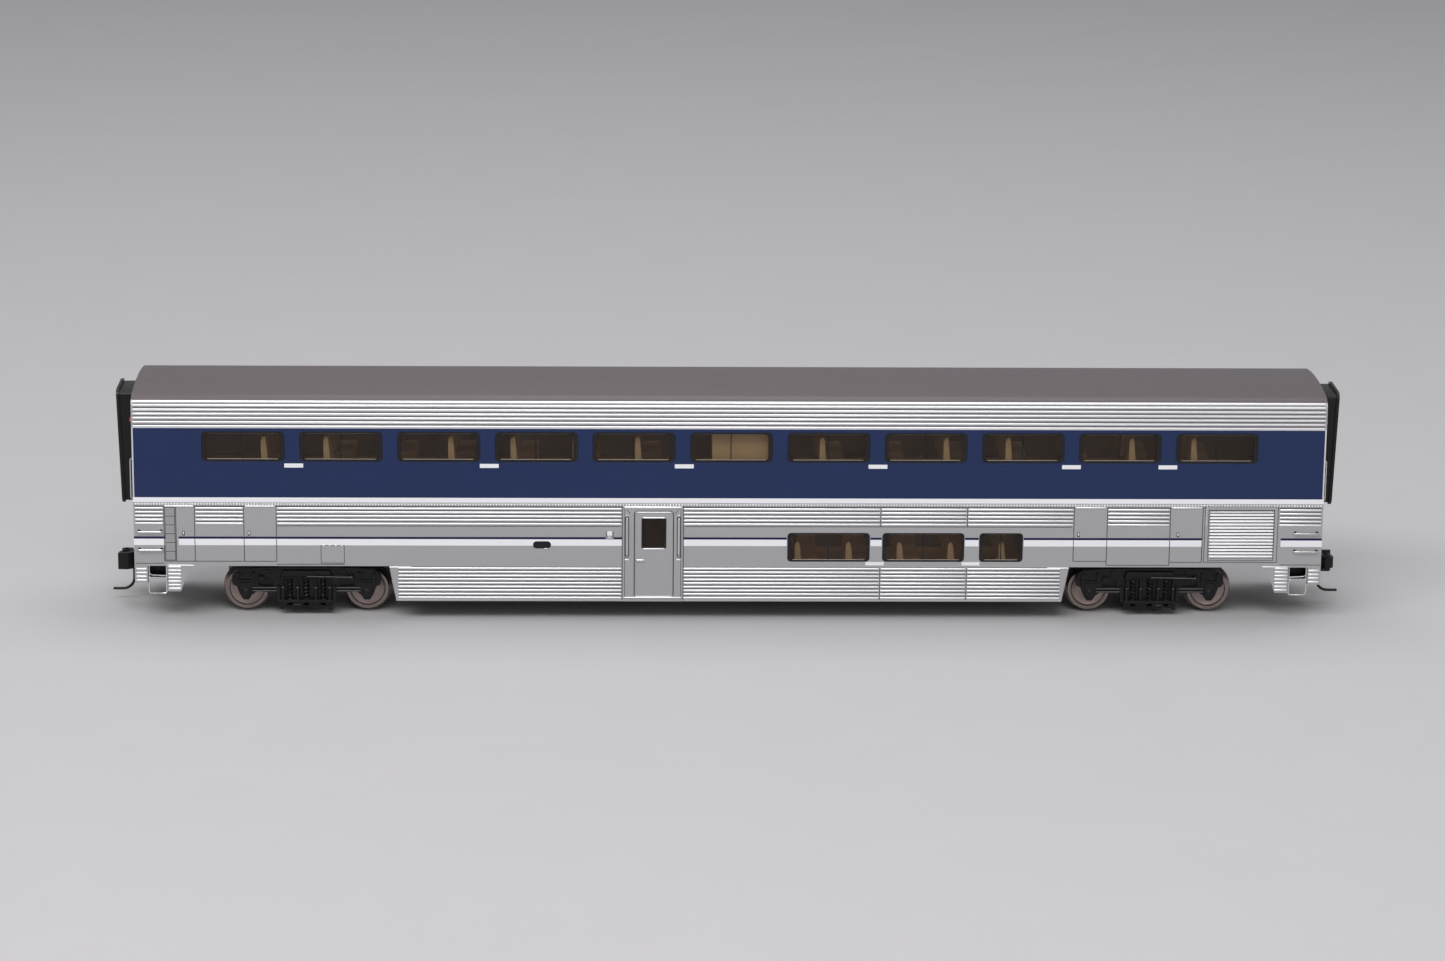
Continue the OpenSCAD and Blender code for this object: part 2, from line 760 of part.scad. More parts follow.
module coupler_screws() {
    low = pocket_z[0] - pocket_floor;
    color(steel) both_ends() translate([coupler_x, 0, low]) {
        difference() {
            translate([0, 0, -0.6]) cylinder(d = 2.4, h = 0.6 - eps);
            translate([-2, -0.15, -1]) cube([4, 0.3, 0.7]);
        }
        translate([0, 0, -0.1]) cylinder(d = coupler_screw_d, h = end_floor_z - low);
    }
}

// ---- Coupler pockets ----

module coupler_pockets() {
    color(black) both_ends() difference() {
        union() {
            difference() {
                block([pocket_x[0], -pocket_half_w, pocket_z[0]],
                    [pocket_x[1], pocket_half_w, pocket_z[1] - eps]);
                block([pocket_x[0] + 0.6, -pocket_in_w, pocket_z[0] - 1],
                    [pocket_x[1] + 1, pocket_in_w, pocket_z[1] - 0.8]);
            }
            translate([coupler_x, 0, pocket_z[0]]) cylinder(d = post_d, h = 2);
        }
        translate([coupler_x, 0, 0]) cylinder(d = coupler_screw_d + 0.1, h = pocket_z[1] + 1);
    }
}

module coupler_pocket_lids() {
    color(black) both_ends() difference() {
        block([pocket_x[0], -pocket_half_w, pocket_z[0] - pocket_floor],
            [pocket_x[1], pocket_half_w, pocket_z[0] - eps]);
        translate([coupler_x, 0, 0]) cylinder(d = coupler_screw_d + 0.1, h = pocket_z[1]);
    }
}

// Thin leaf springs along the inside of each pocket
module centring_springs() {
    color(steel) both_ends() both_sides()
        block([pocket_x[0] + 0.8, -pocket_in_w + 0.02, shank_z[0]],
            [pocket_x[1] - 0.4, -pocket_in_w + 0.16, shank_z[1]]);
}

// ---- Diaphragms ----

module diaphragm_springs() {
    x0 = gangway_x[0] + 1 + eps;
    color(steel) both_ends() both_sides() translate([x0, -lug_y, spring_z]) rotate([0, 90, 0])
        coil(4, 1, 0.3, sleeve_in_x - x0 - eps);
}

// Sleeve and face plate of end B, with the face leaning out slightly towards its top
module diaphragm_plate() {
    plate_in_x = plate_low_x - plate_t;
    inner_y = sleeve_y - sleeve_t;
    color(black) {
        difference() {
            union() {
                block([sleeve_in_x, -sleeve_y, sleeve_z[0]], [plate_in_x + 0.4, sleeve_y, sleeve_z[1]]);
                intersection() {
                    along_y(-plate_y, plate_y) polygon([[plate_in_x, plate_z[0]],
                        [plate_low_x, plate_z[0]], [plate_top_x, plate_z[1]], [plate_in_x, plate_z[1]]]);
                    along_x(half_l, half_l + 10)
                        polygon(round_rect(-plate_y, plate_z[0], plate_y, plate_z[1], plate_corner_r));
                }
            }
            block([half_l - 10, -inner_y, sleeve_z[0] + sleeve_t],
                [half_l + 10, inner_y, sleeve_z[1] - sleeve_t]);
        }
        both_sides() block([sleeve_in_x, -inner_y - 0.1, spring_z - lug_size / 2],
            [sleeve_in_x + lug_size, -inner_y + lug_size, spring_z + lug_size / 2]);
    }
}

// ---- Trucks: modules are drawn about the truck pivot ----

module at_truck(end) { translate([end * truck_x, 0, 0]) rotate([0, 0, end > 0 ? 0 : 180]) children(); }

module truck_bolster() {
    color(black) difference() {
        union() {
            block([-4.2, -frame_in_y, bolster_z], [4.2, frame_in_y, frame_top_z - 0.3]);
            translate([0, 0, bolster_z]) cylinder(d = 7.6, h = bolster_top_z - bolster_z);
        }
        translate([0, 0, 8]) cylinder(d = kingpin_d + 2 * play, h = 8);
    }
}

// Outline of one side frame: a centre block, arms, and a journal box at each axle
module frame_outline() {
    wb = wheelbase / 2;
    half = [[0, 3.4], [6.4, 3.4], [7.3, 4.2], [7.3, 5.4], [wb - 2.4, 5.8], [wb - 1.5, 5],
        [wb - 0.7, 3.7], [wb + 0.7, 3.7], [wb + 1.5, 5], [wb + 2.3, 7.2], [wb + 3.2, 7.6],
        [wb + 3.5, 10], [wb + 2.6, frame_top_z - 0.8], [wb, frame_top_z - 0.4],
        [5, frame_top_z], [0, frame_top_z]];
    polygon(concat(half, [for (p = reversed(half)) if (p[0] > eps) [-p[0], p[1]]]));
}

module arm_opening() {
    wb = wheelbase / 2;
    polygon([[8, 7], [wb - 2.8, 7.2], [wb - 2.8, 8.6], [8, 8.6]]);
}

// Axle box, with a V-shaped foot
module axle_box_outline() {
    foot = [[box_half, 8.4], [box_half, 6], [0.6, 4.4]];
    polygon(concat(foot, [for (p = reversed(foot)) [-p[0], p[1]]]));
}

module side_frames() {
    wb = wheelbase / 2;
    out_y = frame_in_y + frame_t;
    color(black) both_sides() difference() {
        union() {
            difference() {
                along_y(frame_in_y, out_y) frame_outline();
                along_y(frame_in_y - 1, out_y + 1) {
                    arm_opening();
                    mirror([1, 0]) arm_opening();
                }
            }
            for (x = [-wb, wb]) {
                along_y(out_y - 0.2, out_y + 0.5) translate([x, 0]) axle_box_outline();
                translate([x, -out_y - 0.3, axle_z]) rotate([90, 0, 0]) cylinder(d = 2.4, h = 0.7);
            }
            for (x = spring_x)
                translate([x, -out_y, 4.2]) cylinder(d = spring_d, h = 5.6);
            translate([-1.2, -out_y - 0.1, 4]) cylinder(d = 1.3, h = 7.4);
        }
        for (x = [-wb, wb])
            translate([x, -frame_in_y + eps, axle_z]) rotate([90, 0, 0])
                cylinder(d = journal_d + 2 * play, h = axle_l / 2 - frame_in_y + 0.25);
    }
}

// Low crosspiece that ties the side frames and carries the springs
module spring_plank() {
    out_y = frame_in_y + frame_t;
    color(black) {
        block([-6.6, -out_y - 0.2, plank_z], [6.6, -frame_in_y + 1.5, 3.4 - eps]);
        block([-6.6, frame_in_y - 1.5, plank_z], [6.6, out_y + 0.2, 3.4 - eps]);
        block([-2.6, -frame_in_y, plank_z + 0.3], [2.6, frame_in_y, plank_z + 1.5]);
    }
}

module anchor_rods() {
    wb = wheelbase / 2;
    out_y = frame_in_y + frame_t;
    y = out_y + rod_out;
    reach = wb - 3.4;
    color(steel) for (turn = [0, 180]) rotate([0, 0, turn]) {
        rod([0.2, -y, 10.2], [reach, -y, 9.9], rod_d);
        for (x = [0.4, reach - 0.2]) rod([x, -out_y, 10.05], [x, -y + 0.1, 10.05], rod_d);
        for (s = [-1, 1], z = [6.2, 7])
            rod([s * 7.1, -out_y - rod_d / 2, z], [s * (wb - box_half), -out_y - rod_d / 2, z], rod_d);
    }
}

// ---- Wheelsets: drawn about the centre of the axle, along Y ----

function wheel_x(n) = (n < 3 ? -truck_x : truck_x) + (n % 2 == 1 ? -1 : 1) * wheelbase / 2;
module at_wheelset(n) { translate([wheel_x(n), 0, axle_z]) rotate([90, 0, 0]) children(); }

module wheels() {
    tread_r = tread_d / 2;
    back = back_to_back / 2;
    front = back + flange_t + tread_w;
    profile = [[hub_d / 2 - 0.3, back], [tread_r + flange_h, back], [tread_r + flange_h, back + 0.35],
        [tread_r, back + flange_t], [tread_r - 0.05, front], [tread_r - 0.7, front],
        [tread_r - 0.9, front - 0.35], [tread_r - 1.1, front - 0.05],
        [hub_d / 2, front - 0.3], [hub_d / 2 - 0.3, front - 0.3]];
    color(nickel) {
        difference() {
            rotate_extrude() polygon(profile);
            cylinder(d = bush_d + eps, h = front + 1);
        }
        mirror([0, 0, 1]) rotate_extrude()
            polygon([for (p = profile) p[0] < hub_d / 2 ? [axle_d / 2, p[1]] : p]);
    }
}

module axle() {
    shoulder = frame_in_y - 0.5;
    color(steel) {
        cylinder(d = axle_d, h = 2 * shoulder, center = true);
        for (m = [0, 1]) mirror([0, 0, m]) {
            translate([0, 0, shoulder - eps]) cylinder(d = journal_d, h = axle_l / 2 - shoulder - 0.3);
            translate([0, 0, axle_l / 2 - 0.3 - 2 * eps])
                cylinder(d1 = journal_d, d2 = journal_d / 3, h = 0.3);
        }
    }
}

// Insulating bush in one wheel of the set
module bush() {
    color(black) translate([0, 0, back_to_back / 2]) difference() {
        cylinder(d = bush_d, h = flange_t + tread_w - 0.2);
        translate([0, 0, -1]) cylinder(d = axle_d + eps, h = 6);
    }
}

// ---- Couplers: drawn about the pivot, pointing along +X ----

module at_coupler(end) {
    rotate([0, 0, end > 0 ? 0 : 180]) translate([coupler_x, 0, 0]) children();
}

module coupler_head() {
    shank_h = shank_z[1] - shank_z[0];
    reach = coupler_reach;
    color(black) difference() {
        union() {
            translate([0, 0, shank_z[0]]) cylinder(d = 4.8, h = shank_h);
            block([1.5, -1.1, shank_z[0]], [7.2, 1.1, shank_z[1]]);
            translate([0, 0, head_z[0]]) linear_extrude(head_z[1] - head_z[0])
                polygon([[6.6, -1.3], [7.6, -1.3], [7.6, 0.3], [8.3, 1.3], [reach - 0.3, 1.9],
                    [reach - 0.1, 2.5], [8.2, 2.6], [6.6, 1.6]]);
            for (z = [head_z[0], head_z[1] - lug_t]) translate([0, 0, z]) {
                linear_extrude(lug_t) polygon([[7.2, -2.5], [8.9, -2.7], [8.9, -0.8], [7.2, -0.4]]);
                translate([knuckle_pin[0], knuckle_pin[1], 0]) cylinder(d = 2, h = lug_t);
            }
            translate([knuckle_pin[0], knuckle_pin[1], head_z[0]])
                cylinder(d = knuckle_pin_d, h = head_z[1] - head_z[0]);
        }
        translate([0, 0, shank_z[0] - 1]) cylinder(d = post_d + 2 * play, h = shank_h + 2);
    }
}

module knuckle() {
    low = head_z[0] + lug_t + 0.08;
    high = head_z[1] - lug_t - 0.08;
    reach = coupler_reach;
    color(black) difference() {
        translate([0, 0, low]) union() {
            translate([knuckle_pin[0], knuckle_pin[1], 0]) cylinder(d = 2, h = high - low);
            linear_extrude(high - low) polygon([[knuckle_pin[0] + 0.1, knuckle_pin[1] - 0.95],
                [reach - 0.4, -2.5], [reach, -1.6], [reach, 0], [reach - 0.7, 0.4], [reach - 0.9, -0.6],
                [knuckle_pin[0] + 0.1, knuckle_pin[1] + 0.95]]);
        }
        translate([knuckle_pin[0], knuckle_pin[1], low - 1])
            cylinder(d = knuckle_pin_d + 2 * play, h = high - low + 2);
    }
}

module knuckle_spring() {
    color(steel) translate([6.75, -1.75, coupler_z]) rotate([0, 90, 0]) coil(4, 0.5, 0.2, 0.8);
}

// Wire that hangs below the head and curves forward in a quarter circle
module trip_pin() {
    top = head_z[0] - 0.3;
    low = top - trip_drop;
    color(black) translate([trip_x, 0, 0]) {
        translate([0, 0, low + trip_r]) cylinder(d = trip_d, h = trip_drop - trip_r + 0.3 - eps);
        translate([trip_r, 0, low + trip_r]) intersection() {
            rotate([90, 0, 0]) rotate_extrude() translate([trip_r, 0]) circle(d = trip_d, $fn = 16);
            translate([-trip_r - trip_d, -trip_d, -trip_r - trip_d])
                cube([trip_r + trip_d, 2 * trip_d, trip_r + trip_d]);
        }
        rod([trip_r - eps, 0, low], [trip_reach, 0, low], trip_d);
    }
}

// ---- Which node is drawn ----

body_shell();
roof();
upper_glazing_near();
mirror([0, 1, 0]) upper_glazing_near();  // upper_glazing_far
lower_glazing_near();
mirror([0, 1, 0]) lower_glazing_near();  // lower_glazing_far
side_doors();
door_panes();
end_doors();
louvre_grilles();
door_handrails();
grab_irons();
stirrup_steps();
step_wells();
marker_lamps();
underframe();
upper_deck();
upper_seats();
lower_deck();
lower_seats();
stair_core();
ballast_weights();
floor_screws();
kingpin_screws();
coupler_pockets();
coupler_pocket_lids();
coupler_screws();
centring_springs();
gangway_frames();
diaphragm_springs();
mirror([1, 0, 0]) diaphragm_plate();  // diaphragm_plate_a
diaphragm_plate();  // diaphragm_plate_b
at_truck(-1) truck_bolster();  // truck_bolster_a
at_truck(-1) side_frames();  // side_frames_a
at_truck(-1) spring_plank();  // spring_plank_a
at_truck(-1) anchor_rods();  // anchor_rods_a
at_truck(1) truck_bolster();  // truck_bolster_b
at_truck(1) side_frames();  // side_frames_b
at_truck(1) spring_plank();  // spring_plank_b
at_truck(1) anchor_rods();  // anchor_rods_b
at_wheelset(1) wheels();  // wheels_1
at_wheelset(1) axle();  // axle_1
at_wheelset(1) bush();  // bush_1
at_wheelset(2) wheels();  // wheels_2
at_wheelset(2) axle();  // axle_2
at_wheelset(2) bush();  // bush_2
at_wheelset(3) wheels();  // wheels_3
at_wheelset(3) axle();  // axle_3
at_wheelset(3) bush();  // bush_3
at_wheelset(4) wheels();  // wheels_4
at_wheelset(4) axle();  // axle_4
at_wheelset(4) bush();  // bush_4
at_coupler(-1) coupler_head();  // coupler_head_a
at_coupler(-1) knuckle();  // knuckle_a
at_coupler(-1) knuckle_spring();  // knuckle_spring_a
at_coupler(-1) trip_pin();  // trip_pin_a
at_coupler(1) coupler_head();  // coupler_head_b
at_coupler(1) knuckle();  // knuckle_b
at_coupler(1) knuckle_spring();  // knuckle_spring_b
at_coupler(1) trip_pin();  // trip_pin_b
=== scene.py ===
import json
import math

import bmesh
import bpy
from mathutils import Matrix, Vector
from mathutils.geometry import tessellate_polygon


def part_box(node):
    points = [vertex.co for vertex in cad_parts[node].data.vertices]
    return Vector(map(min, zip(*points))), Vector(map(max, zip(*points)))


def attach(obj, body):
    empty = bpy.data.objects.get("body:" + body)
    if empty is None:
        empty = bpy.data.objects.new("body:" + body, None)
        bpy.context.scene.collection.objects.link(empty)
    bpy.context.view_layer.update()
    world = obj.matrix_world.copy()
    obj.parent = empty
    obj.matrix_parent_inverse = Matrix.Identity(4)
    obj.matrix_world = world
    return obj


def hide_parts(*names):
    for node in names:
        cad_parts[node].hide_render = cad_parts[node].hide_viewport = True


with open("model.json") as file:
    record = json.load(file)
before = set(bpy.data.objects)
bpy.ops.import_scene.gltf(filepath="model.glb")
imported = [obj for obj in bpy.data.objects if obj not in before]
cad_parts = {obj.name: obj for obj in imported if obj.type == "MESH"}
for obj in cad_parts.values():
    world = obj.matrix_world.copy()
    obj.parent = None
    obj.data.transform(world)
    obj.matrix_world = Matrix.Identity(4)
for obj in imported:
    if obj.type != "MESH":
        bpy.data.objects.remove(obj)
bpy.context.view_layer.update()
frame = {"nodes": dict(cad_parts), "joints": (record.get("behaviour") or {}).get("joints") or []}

# Places and sizes below are in millimetres in the frame's axes: x along the coach, z up.
# t is the distance from the middle plane of the coach, so that both sides share one description.
MM = 0.001
ENDS = {"a": -1, "b": 1}
SIDES = {"near": -1, "far": 1}


def box_mm(node):
    low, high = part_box(node)
    return low / MM, high / MM


def joint_mm(name):
    joint = next(j for j in frame["joints"] if j["name"] == name)
    return Vector(joint["pos_m"]) / MM


def link(thing):
    bpy.context.scene.collection.objects.link(thing)


# ---- Body dimensions ----

HALF_L = box_mm("roof")[1].x
CROWN_Z = box_mm("roof")[1].z
HALF_W = 17.6
WALL = 1.0
EAVE_Z = 53.4
SIDE_Z = 13.7
SKIRT_Z = 4.8
SHOULDER_R = 3.0
SHOULDER_T = HALF_W - SHOULDER_R
ROOF_RISE = CROWN_Z - EAVE_Z
CROWN_R = (SHOULDER_R ** 2 - SHOULDER_T ** 2 - ROOF_RISE ** 2) / (2 * (SHOULDER_R - ROOF_RISE))
JOIN_A = math.atan2(CROWN_R - ROOF_RISE, SHOULDER_T)
SEAM_A = math.radians(41)
SKIN = 0.03

SKIRT_TOP_X, SKIRT_LOW_X = 83.5, 81.8
STEP_SLOPE_X, STEP_IN_X, STEP_OUT_X, WELL_OUT_X = 131.0, 134.5, 137.7, 142.5
STEP_LOW_Z, CORNER_LOW_Z = 7.2, 9.3

WINDOW_PITCH, WINDOW_W, WINDOW_COUNT = 23.77, 19.7, 11
WINDOW_Z, WINDOW_TOP_Z = 40.25, 47.55
PANE_SETS = [(14.05, 34.3), (37.36, 57.56), (61.21, 71.98)]
PANE_Z, PANE_TOP_Z = 15.0, 22.35

DOOR_X = -18.7
DOOR = (DOOR_X - 4.9, 5.6, DOOR_X + 4.9, 28.0)
DOOR_FRAME = (-26.35, 5.6, -11.6, 29.2)
DOOR_PANE = (DOOR_X - 2.7, 18.4, DOOR_X + 2.7, 25.7)
RAIL_XS, RAIL_LOW_Z, RAIL_HIGH_Z = (-25.3, -12.6), 16.5, 26.1
GRAB_ZS = (17.9, 22.5)
GRILLE = (117.75, 16.05, 133.75, 28.3)
GRILLE_FRAME = (116.55, 15.0, 134.7, 29.3)

BLUE_Z = (31.07, 48.5)
WHITE_Z = (29.88, 31.07)
NAVY_Z = (20.6, 21.15)
LOW_WHITE_Z = (18.97, 20.6)
STRIPES = [(-HALF_L, -138.0), (-134.8, -26.45), (-11.5, 13.9), (34.45, 37.2), (57.7, 61.05),
           (72.15, 116.0), (135.5, HALF_L)]

FLUTE_H = 0.2
MID_FLUTES = [(-145.4, -138.4), (-130.7, -118.9), (-110.9, -26.5), (-11.45, 36.8), (37.0, 58.1),
              (58.3, 84.3), (92.7, 108.0), (135.0, 145.4)]
LOW_FLUTES = [(-81.4, -26.5), (-11.45, 36.8), (37.0, 58.1), (58.3, 81.4)]

TRUCK_X = joint_mm("truck_b_swivel").x
HALF_WB = (box_mm("wheels_4")[0].x - box_mm("wheels_3")[0].x) / 2
AXLE_Z = joint_mm("wheelset_1_spin").z
COUPLER_X = joint_mm("coupler_b_swing").x
COUPLER_Z = joint_mm("coupler_b_swing").z


# ---- Camera, light and floor ----

def make_camera():
    yaw, pitch, roll = (math.radians(a) for a in (1.666, 14.781, 0.544))
    forward = Vector((math.sin(yaw) * math.cos(pitch), math.cos(yaw) * math.cos(pitch), -math.sin(pitch)))
    level = Vector((math.cos(yaw), -math.sin(yaw), 0))
    up = level.cross(forward)
    right = math.cos(roll) * level + math.sin(roll) * up
    top = -math.sin(roll) * level + math.cos(roll) * up
    data = bpy.data.cameras.new("camera")
    data.sensor_width = 36
    data.lens = 110.07
    data.shift_x, data.shift_y = -0.00035, 0.00035
    data.clip_start, data.clip_end = 0.01, 20
    camera = bpy.data.objects.new("camera", data)
    camera.matrix_world = Matrix.Translation(Vector((-32.233, -1060.835, 310.834)) * MM) @ Matrix(
        (right, top, -forward)).transposed().to_4x4()
    link(camera)
    bpy.context.scene.camera = camera


def area_light(name, place, target, size, power, colour=(1, 1, 1)):
    data = bpy.data.lights.new(name, "AREA")
    data.shape = "RECTANGLE"
    data.size, data.size_y = size
    data.energy = power
    data.color = colour
    light = bpy.data.objects.new(name, data)
    light.location = place
    light.rotation_euler = (Vector(target) - Vector(place)).to_track_quat("-Z", "Y").to_euler()
    link(light)


def make_lights():
    area_light("key", (-0.3, -0.75, 0.95), (0, 0, 0.03), (1.3, 0.45), 11)
    area_light("top", (0.1, 0.3, 1.2), (0, 0, 0.03), (1.4, 0.8), 7)
    area_light("fill", (0.5, -1.3, 0.5), (0, 0, 0.03), (1.2, 0.5), 2.5)
    world = bpy.data.worlds.new("studio")
    world.use_nodes = True
    background = world.node_tree.nodes["Background"]
    background.inputs["Color"].default_value = (0.86, 0.86, 0.88, 1)
    background.inputs["Strength"].default_value = 0.34
    bpy.context.scene.world = world
    bpy.context.scene.view_settings.view_transform = "Standard"


# ---- Materials ----

def finish(name, colour, roughness, metallic=0.0, spread=0.06, grain=1200.0, bump=0.04, stretch=(1, 1, 1),
           coat=0.0, alpha=1.0, rough_spread=0.08, specular=0.5):
    """Painted, plated or moulded surface: its tone, roughness and fine relief vary from place to place."""
    material = bpy.data.materials.new(name)
    material.use_nodes = True
    tree = material.node_tree
    shader = tree.nodes["Principled BSDF"]
    coords = tree.nodes.new("ShaderNodeTexCoord")
    mapping = tree.nodes.new("ShaderNodeMapping")
    mapping.inputs["Scale"].default_value = stretch
    tree.links.new(coords.outputs["Object"], mapping.inputs["Vector"])

    def noise(scale, detail):
        node = tree.nodes.new("ShaderNodeTexNoise")
        node.inputs["Scale"].default_value = scale
        node.inputs["Detail"].default_value = detail
        tree.links.new(mapping.outputs["Vector"], node.inputs["Vector"])
        return node.outputs["Fac"]

    tone = tree.nodes.new("ShaderNodeMix")
    tone.data_type = "RGBA"
    tone.inputs["A"].default_value = (*[c * (1 - spread) for c in colour], 1)
    tone.inputs["B"].default_value = (*[min(1, c * (1 + spread)) for c in colour], 1)
    tree.links.new(noise(grain * 0.12, 4), tone.inputs["Factor"])
    tree.links.new(tone.outputs["Result"], shader.inputs["Base Color"])
    gloss = tree.nodes.new("ShaderNodeMapRange")
    gloss.inputs["To Min"].default_value = max(0.02, roughness - rough_spread)
    gloss.inputs["To Max"].default_value = min(1, roughness + rough_spread)
    tree.links.new(noise(grain * 0.4, 3), gloss.inputs["Value"])
    tree.links.new(gloss.outputs["Result"], shader.inputs["Roughness"])
    relief = tree.nodes.new("ShaderNodeBump")
    relief.inputs["Strength"].default_value = bump
    relief.inputs["Distance"].default_value = 0.0001
    tree.links.new(noise(grain, 5), relief.inputs["Height"])
    tree.links.new(relief.outputs["Normal"], shader.inputs["Normal"])
    shader.inputs["Metallic"].default_value = metallic
    shader.inputs["Specular IOR Level"].default_value = specular
    shader.inputs["Coat Weight"].default_value = coat
    shader.inputs["Coat Roughness"].default_value = 0.12
    shader.inputs["Alpha"].default_value = alpha
    return material


ALONG = (0.08, 1, 1)
MATERIALS = {
    "silver": finish("silver", (0.40, 0.40, 0.41), 0.42, 0.3, stretch=ALONG, bump=0.02, spread=0.04),
    "bright": finish("bright", (0.86, 0.86, 0.88), 0.34, 0.85, stretch=ALONG, bump=0.004, spread=0.03,
                     rough_spread=0.03),
    "plate": finish("plate", (0.90, 0.90, 0.92), 0.38, 0.7, stretch=ALONG, bump=0.01, spread=0.03),
    "groove": finish("groove", (0.045, 0.045, 0.048), 0.6),
    "shade": finish("shade", (0.17, 0.17, 0.175), 0.5, 0.4, stretch=ALONG, bump=0.01, spread=0.03),
    "blue": finish("blue", (0.013, 0.026, 0.090), 0.36, bump=0.02, specular=0.25),
    "white": finish("white", (0.84, 0.84, 0.88), 0.4, coat=0.1, bump=0.02, spread=0.02),
    "navy": finish("navy", (0.008, 0.009, 0.060), 0.38, bump=0.02, specular=0.25),
    "roof": finish("roof", (0.118, 0.100, 0.108), 0.46, bump=0.07, spread=0.06, grain=1800),
    "black": finish("black", (0.006, 0.006, 0.007), 0.32, bump=0.08, spread=0.2, grain=1500, specular=0.3),
    "rubber": finish("rubber", (0.006, 0.006, 0.008), 0.45, bump=0.05, spread=0.2, specular=0.35),
    "glass": finish("glass", (0.030, 0.019, 0.013), 0.08, alpha=0.30, bump=0.01, rough_spread=0.03),
    "glint": finish("glint", (0.30, 0.26, 0.23), 0.3, 0.2),
    "tan": finish("tan", (0.86, 0.57, 0.28), 0.6, bump=0.08),
    "steel": finish("steel", (0.70, 0.70, 0.71), 0.26, 0.9, spread=0.1, bump=0.05),
    "rod": finish("rod", (0.20, 0.20, 0.21), 0.34, 0.8, spread=0.12, bump=0.05),
    "wheel": finish("wheel", (0.33, 0.265, 0.245), 0.40, 0.6, spread=0.14, bump=0.08, grain=900),
    "tread": finish("tread", (0.30, 0.25, 0.235), 0.30, 0.85, spread=0.10, bump=0.04),
    "red": finish("red", (0.42, 0.012, 0.010), 0.12, coat=0.8, bump=0.02),
    "lamp": finish("lamp", (0.82, 0.82, 0.84), 0.3, coat=0.4, bump=0.02, spread=0.03),
    "floor": finish("floor", (0.50, 0.49, 0.50), 0.75, grain=400, spread=0.02, bump=0.02),
}


# ---- Mesh helpers ----

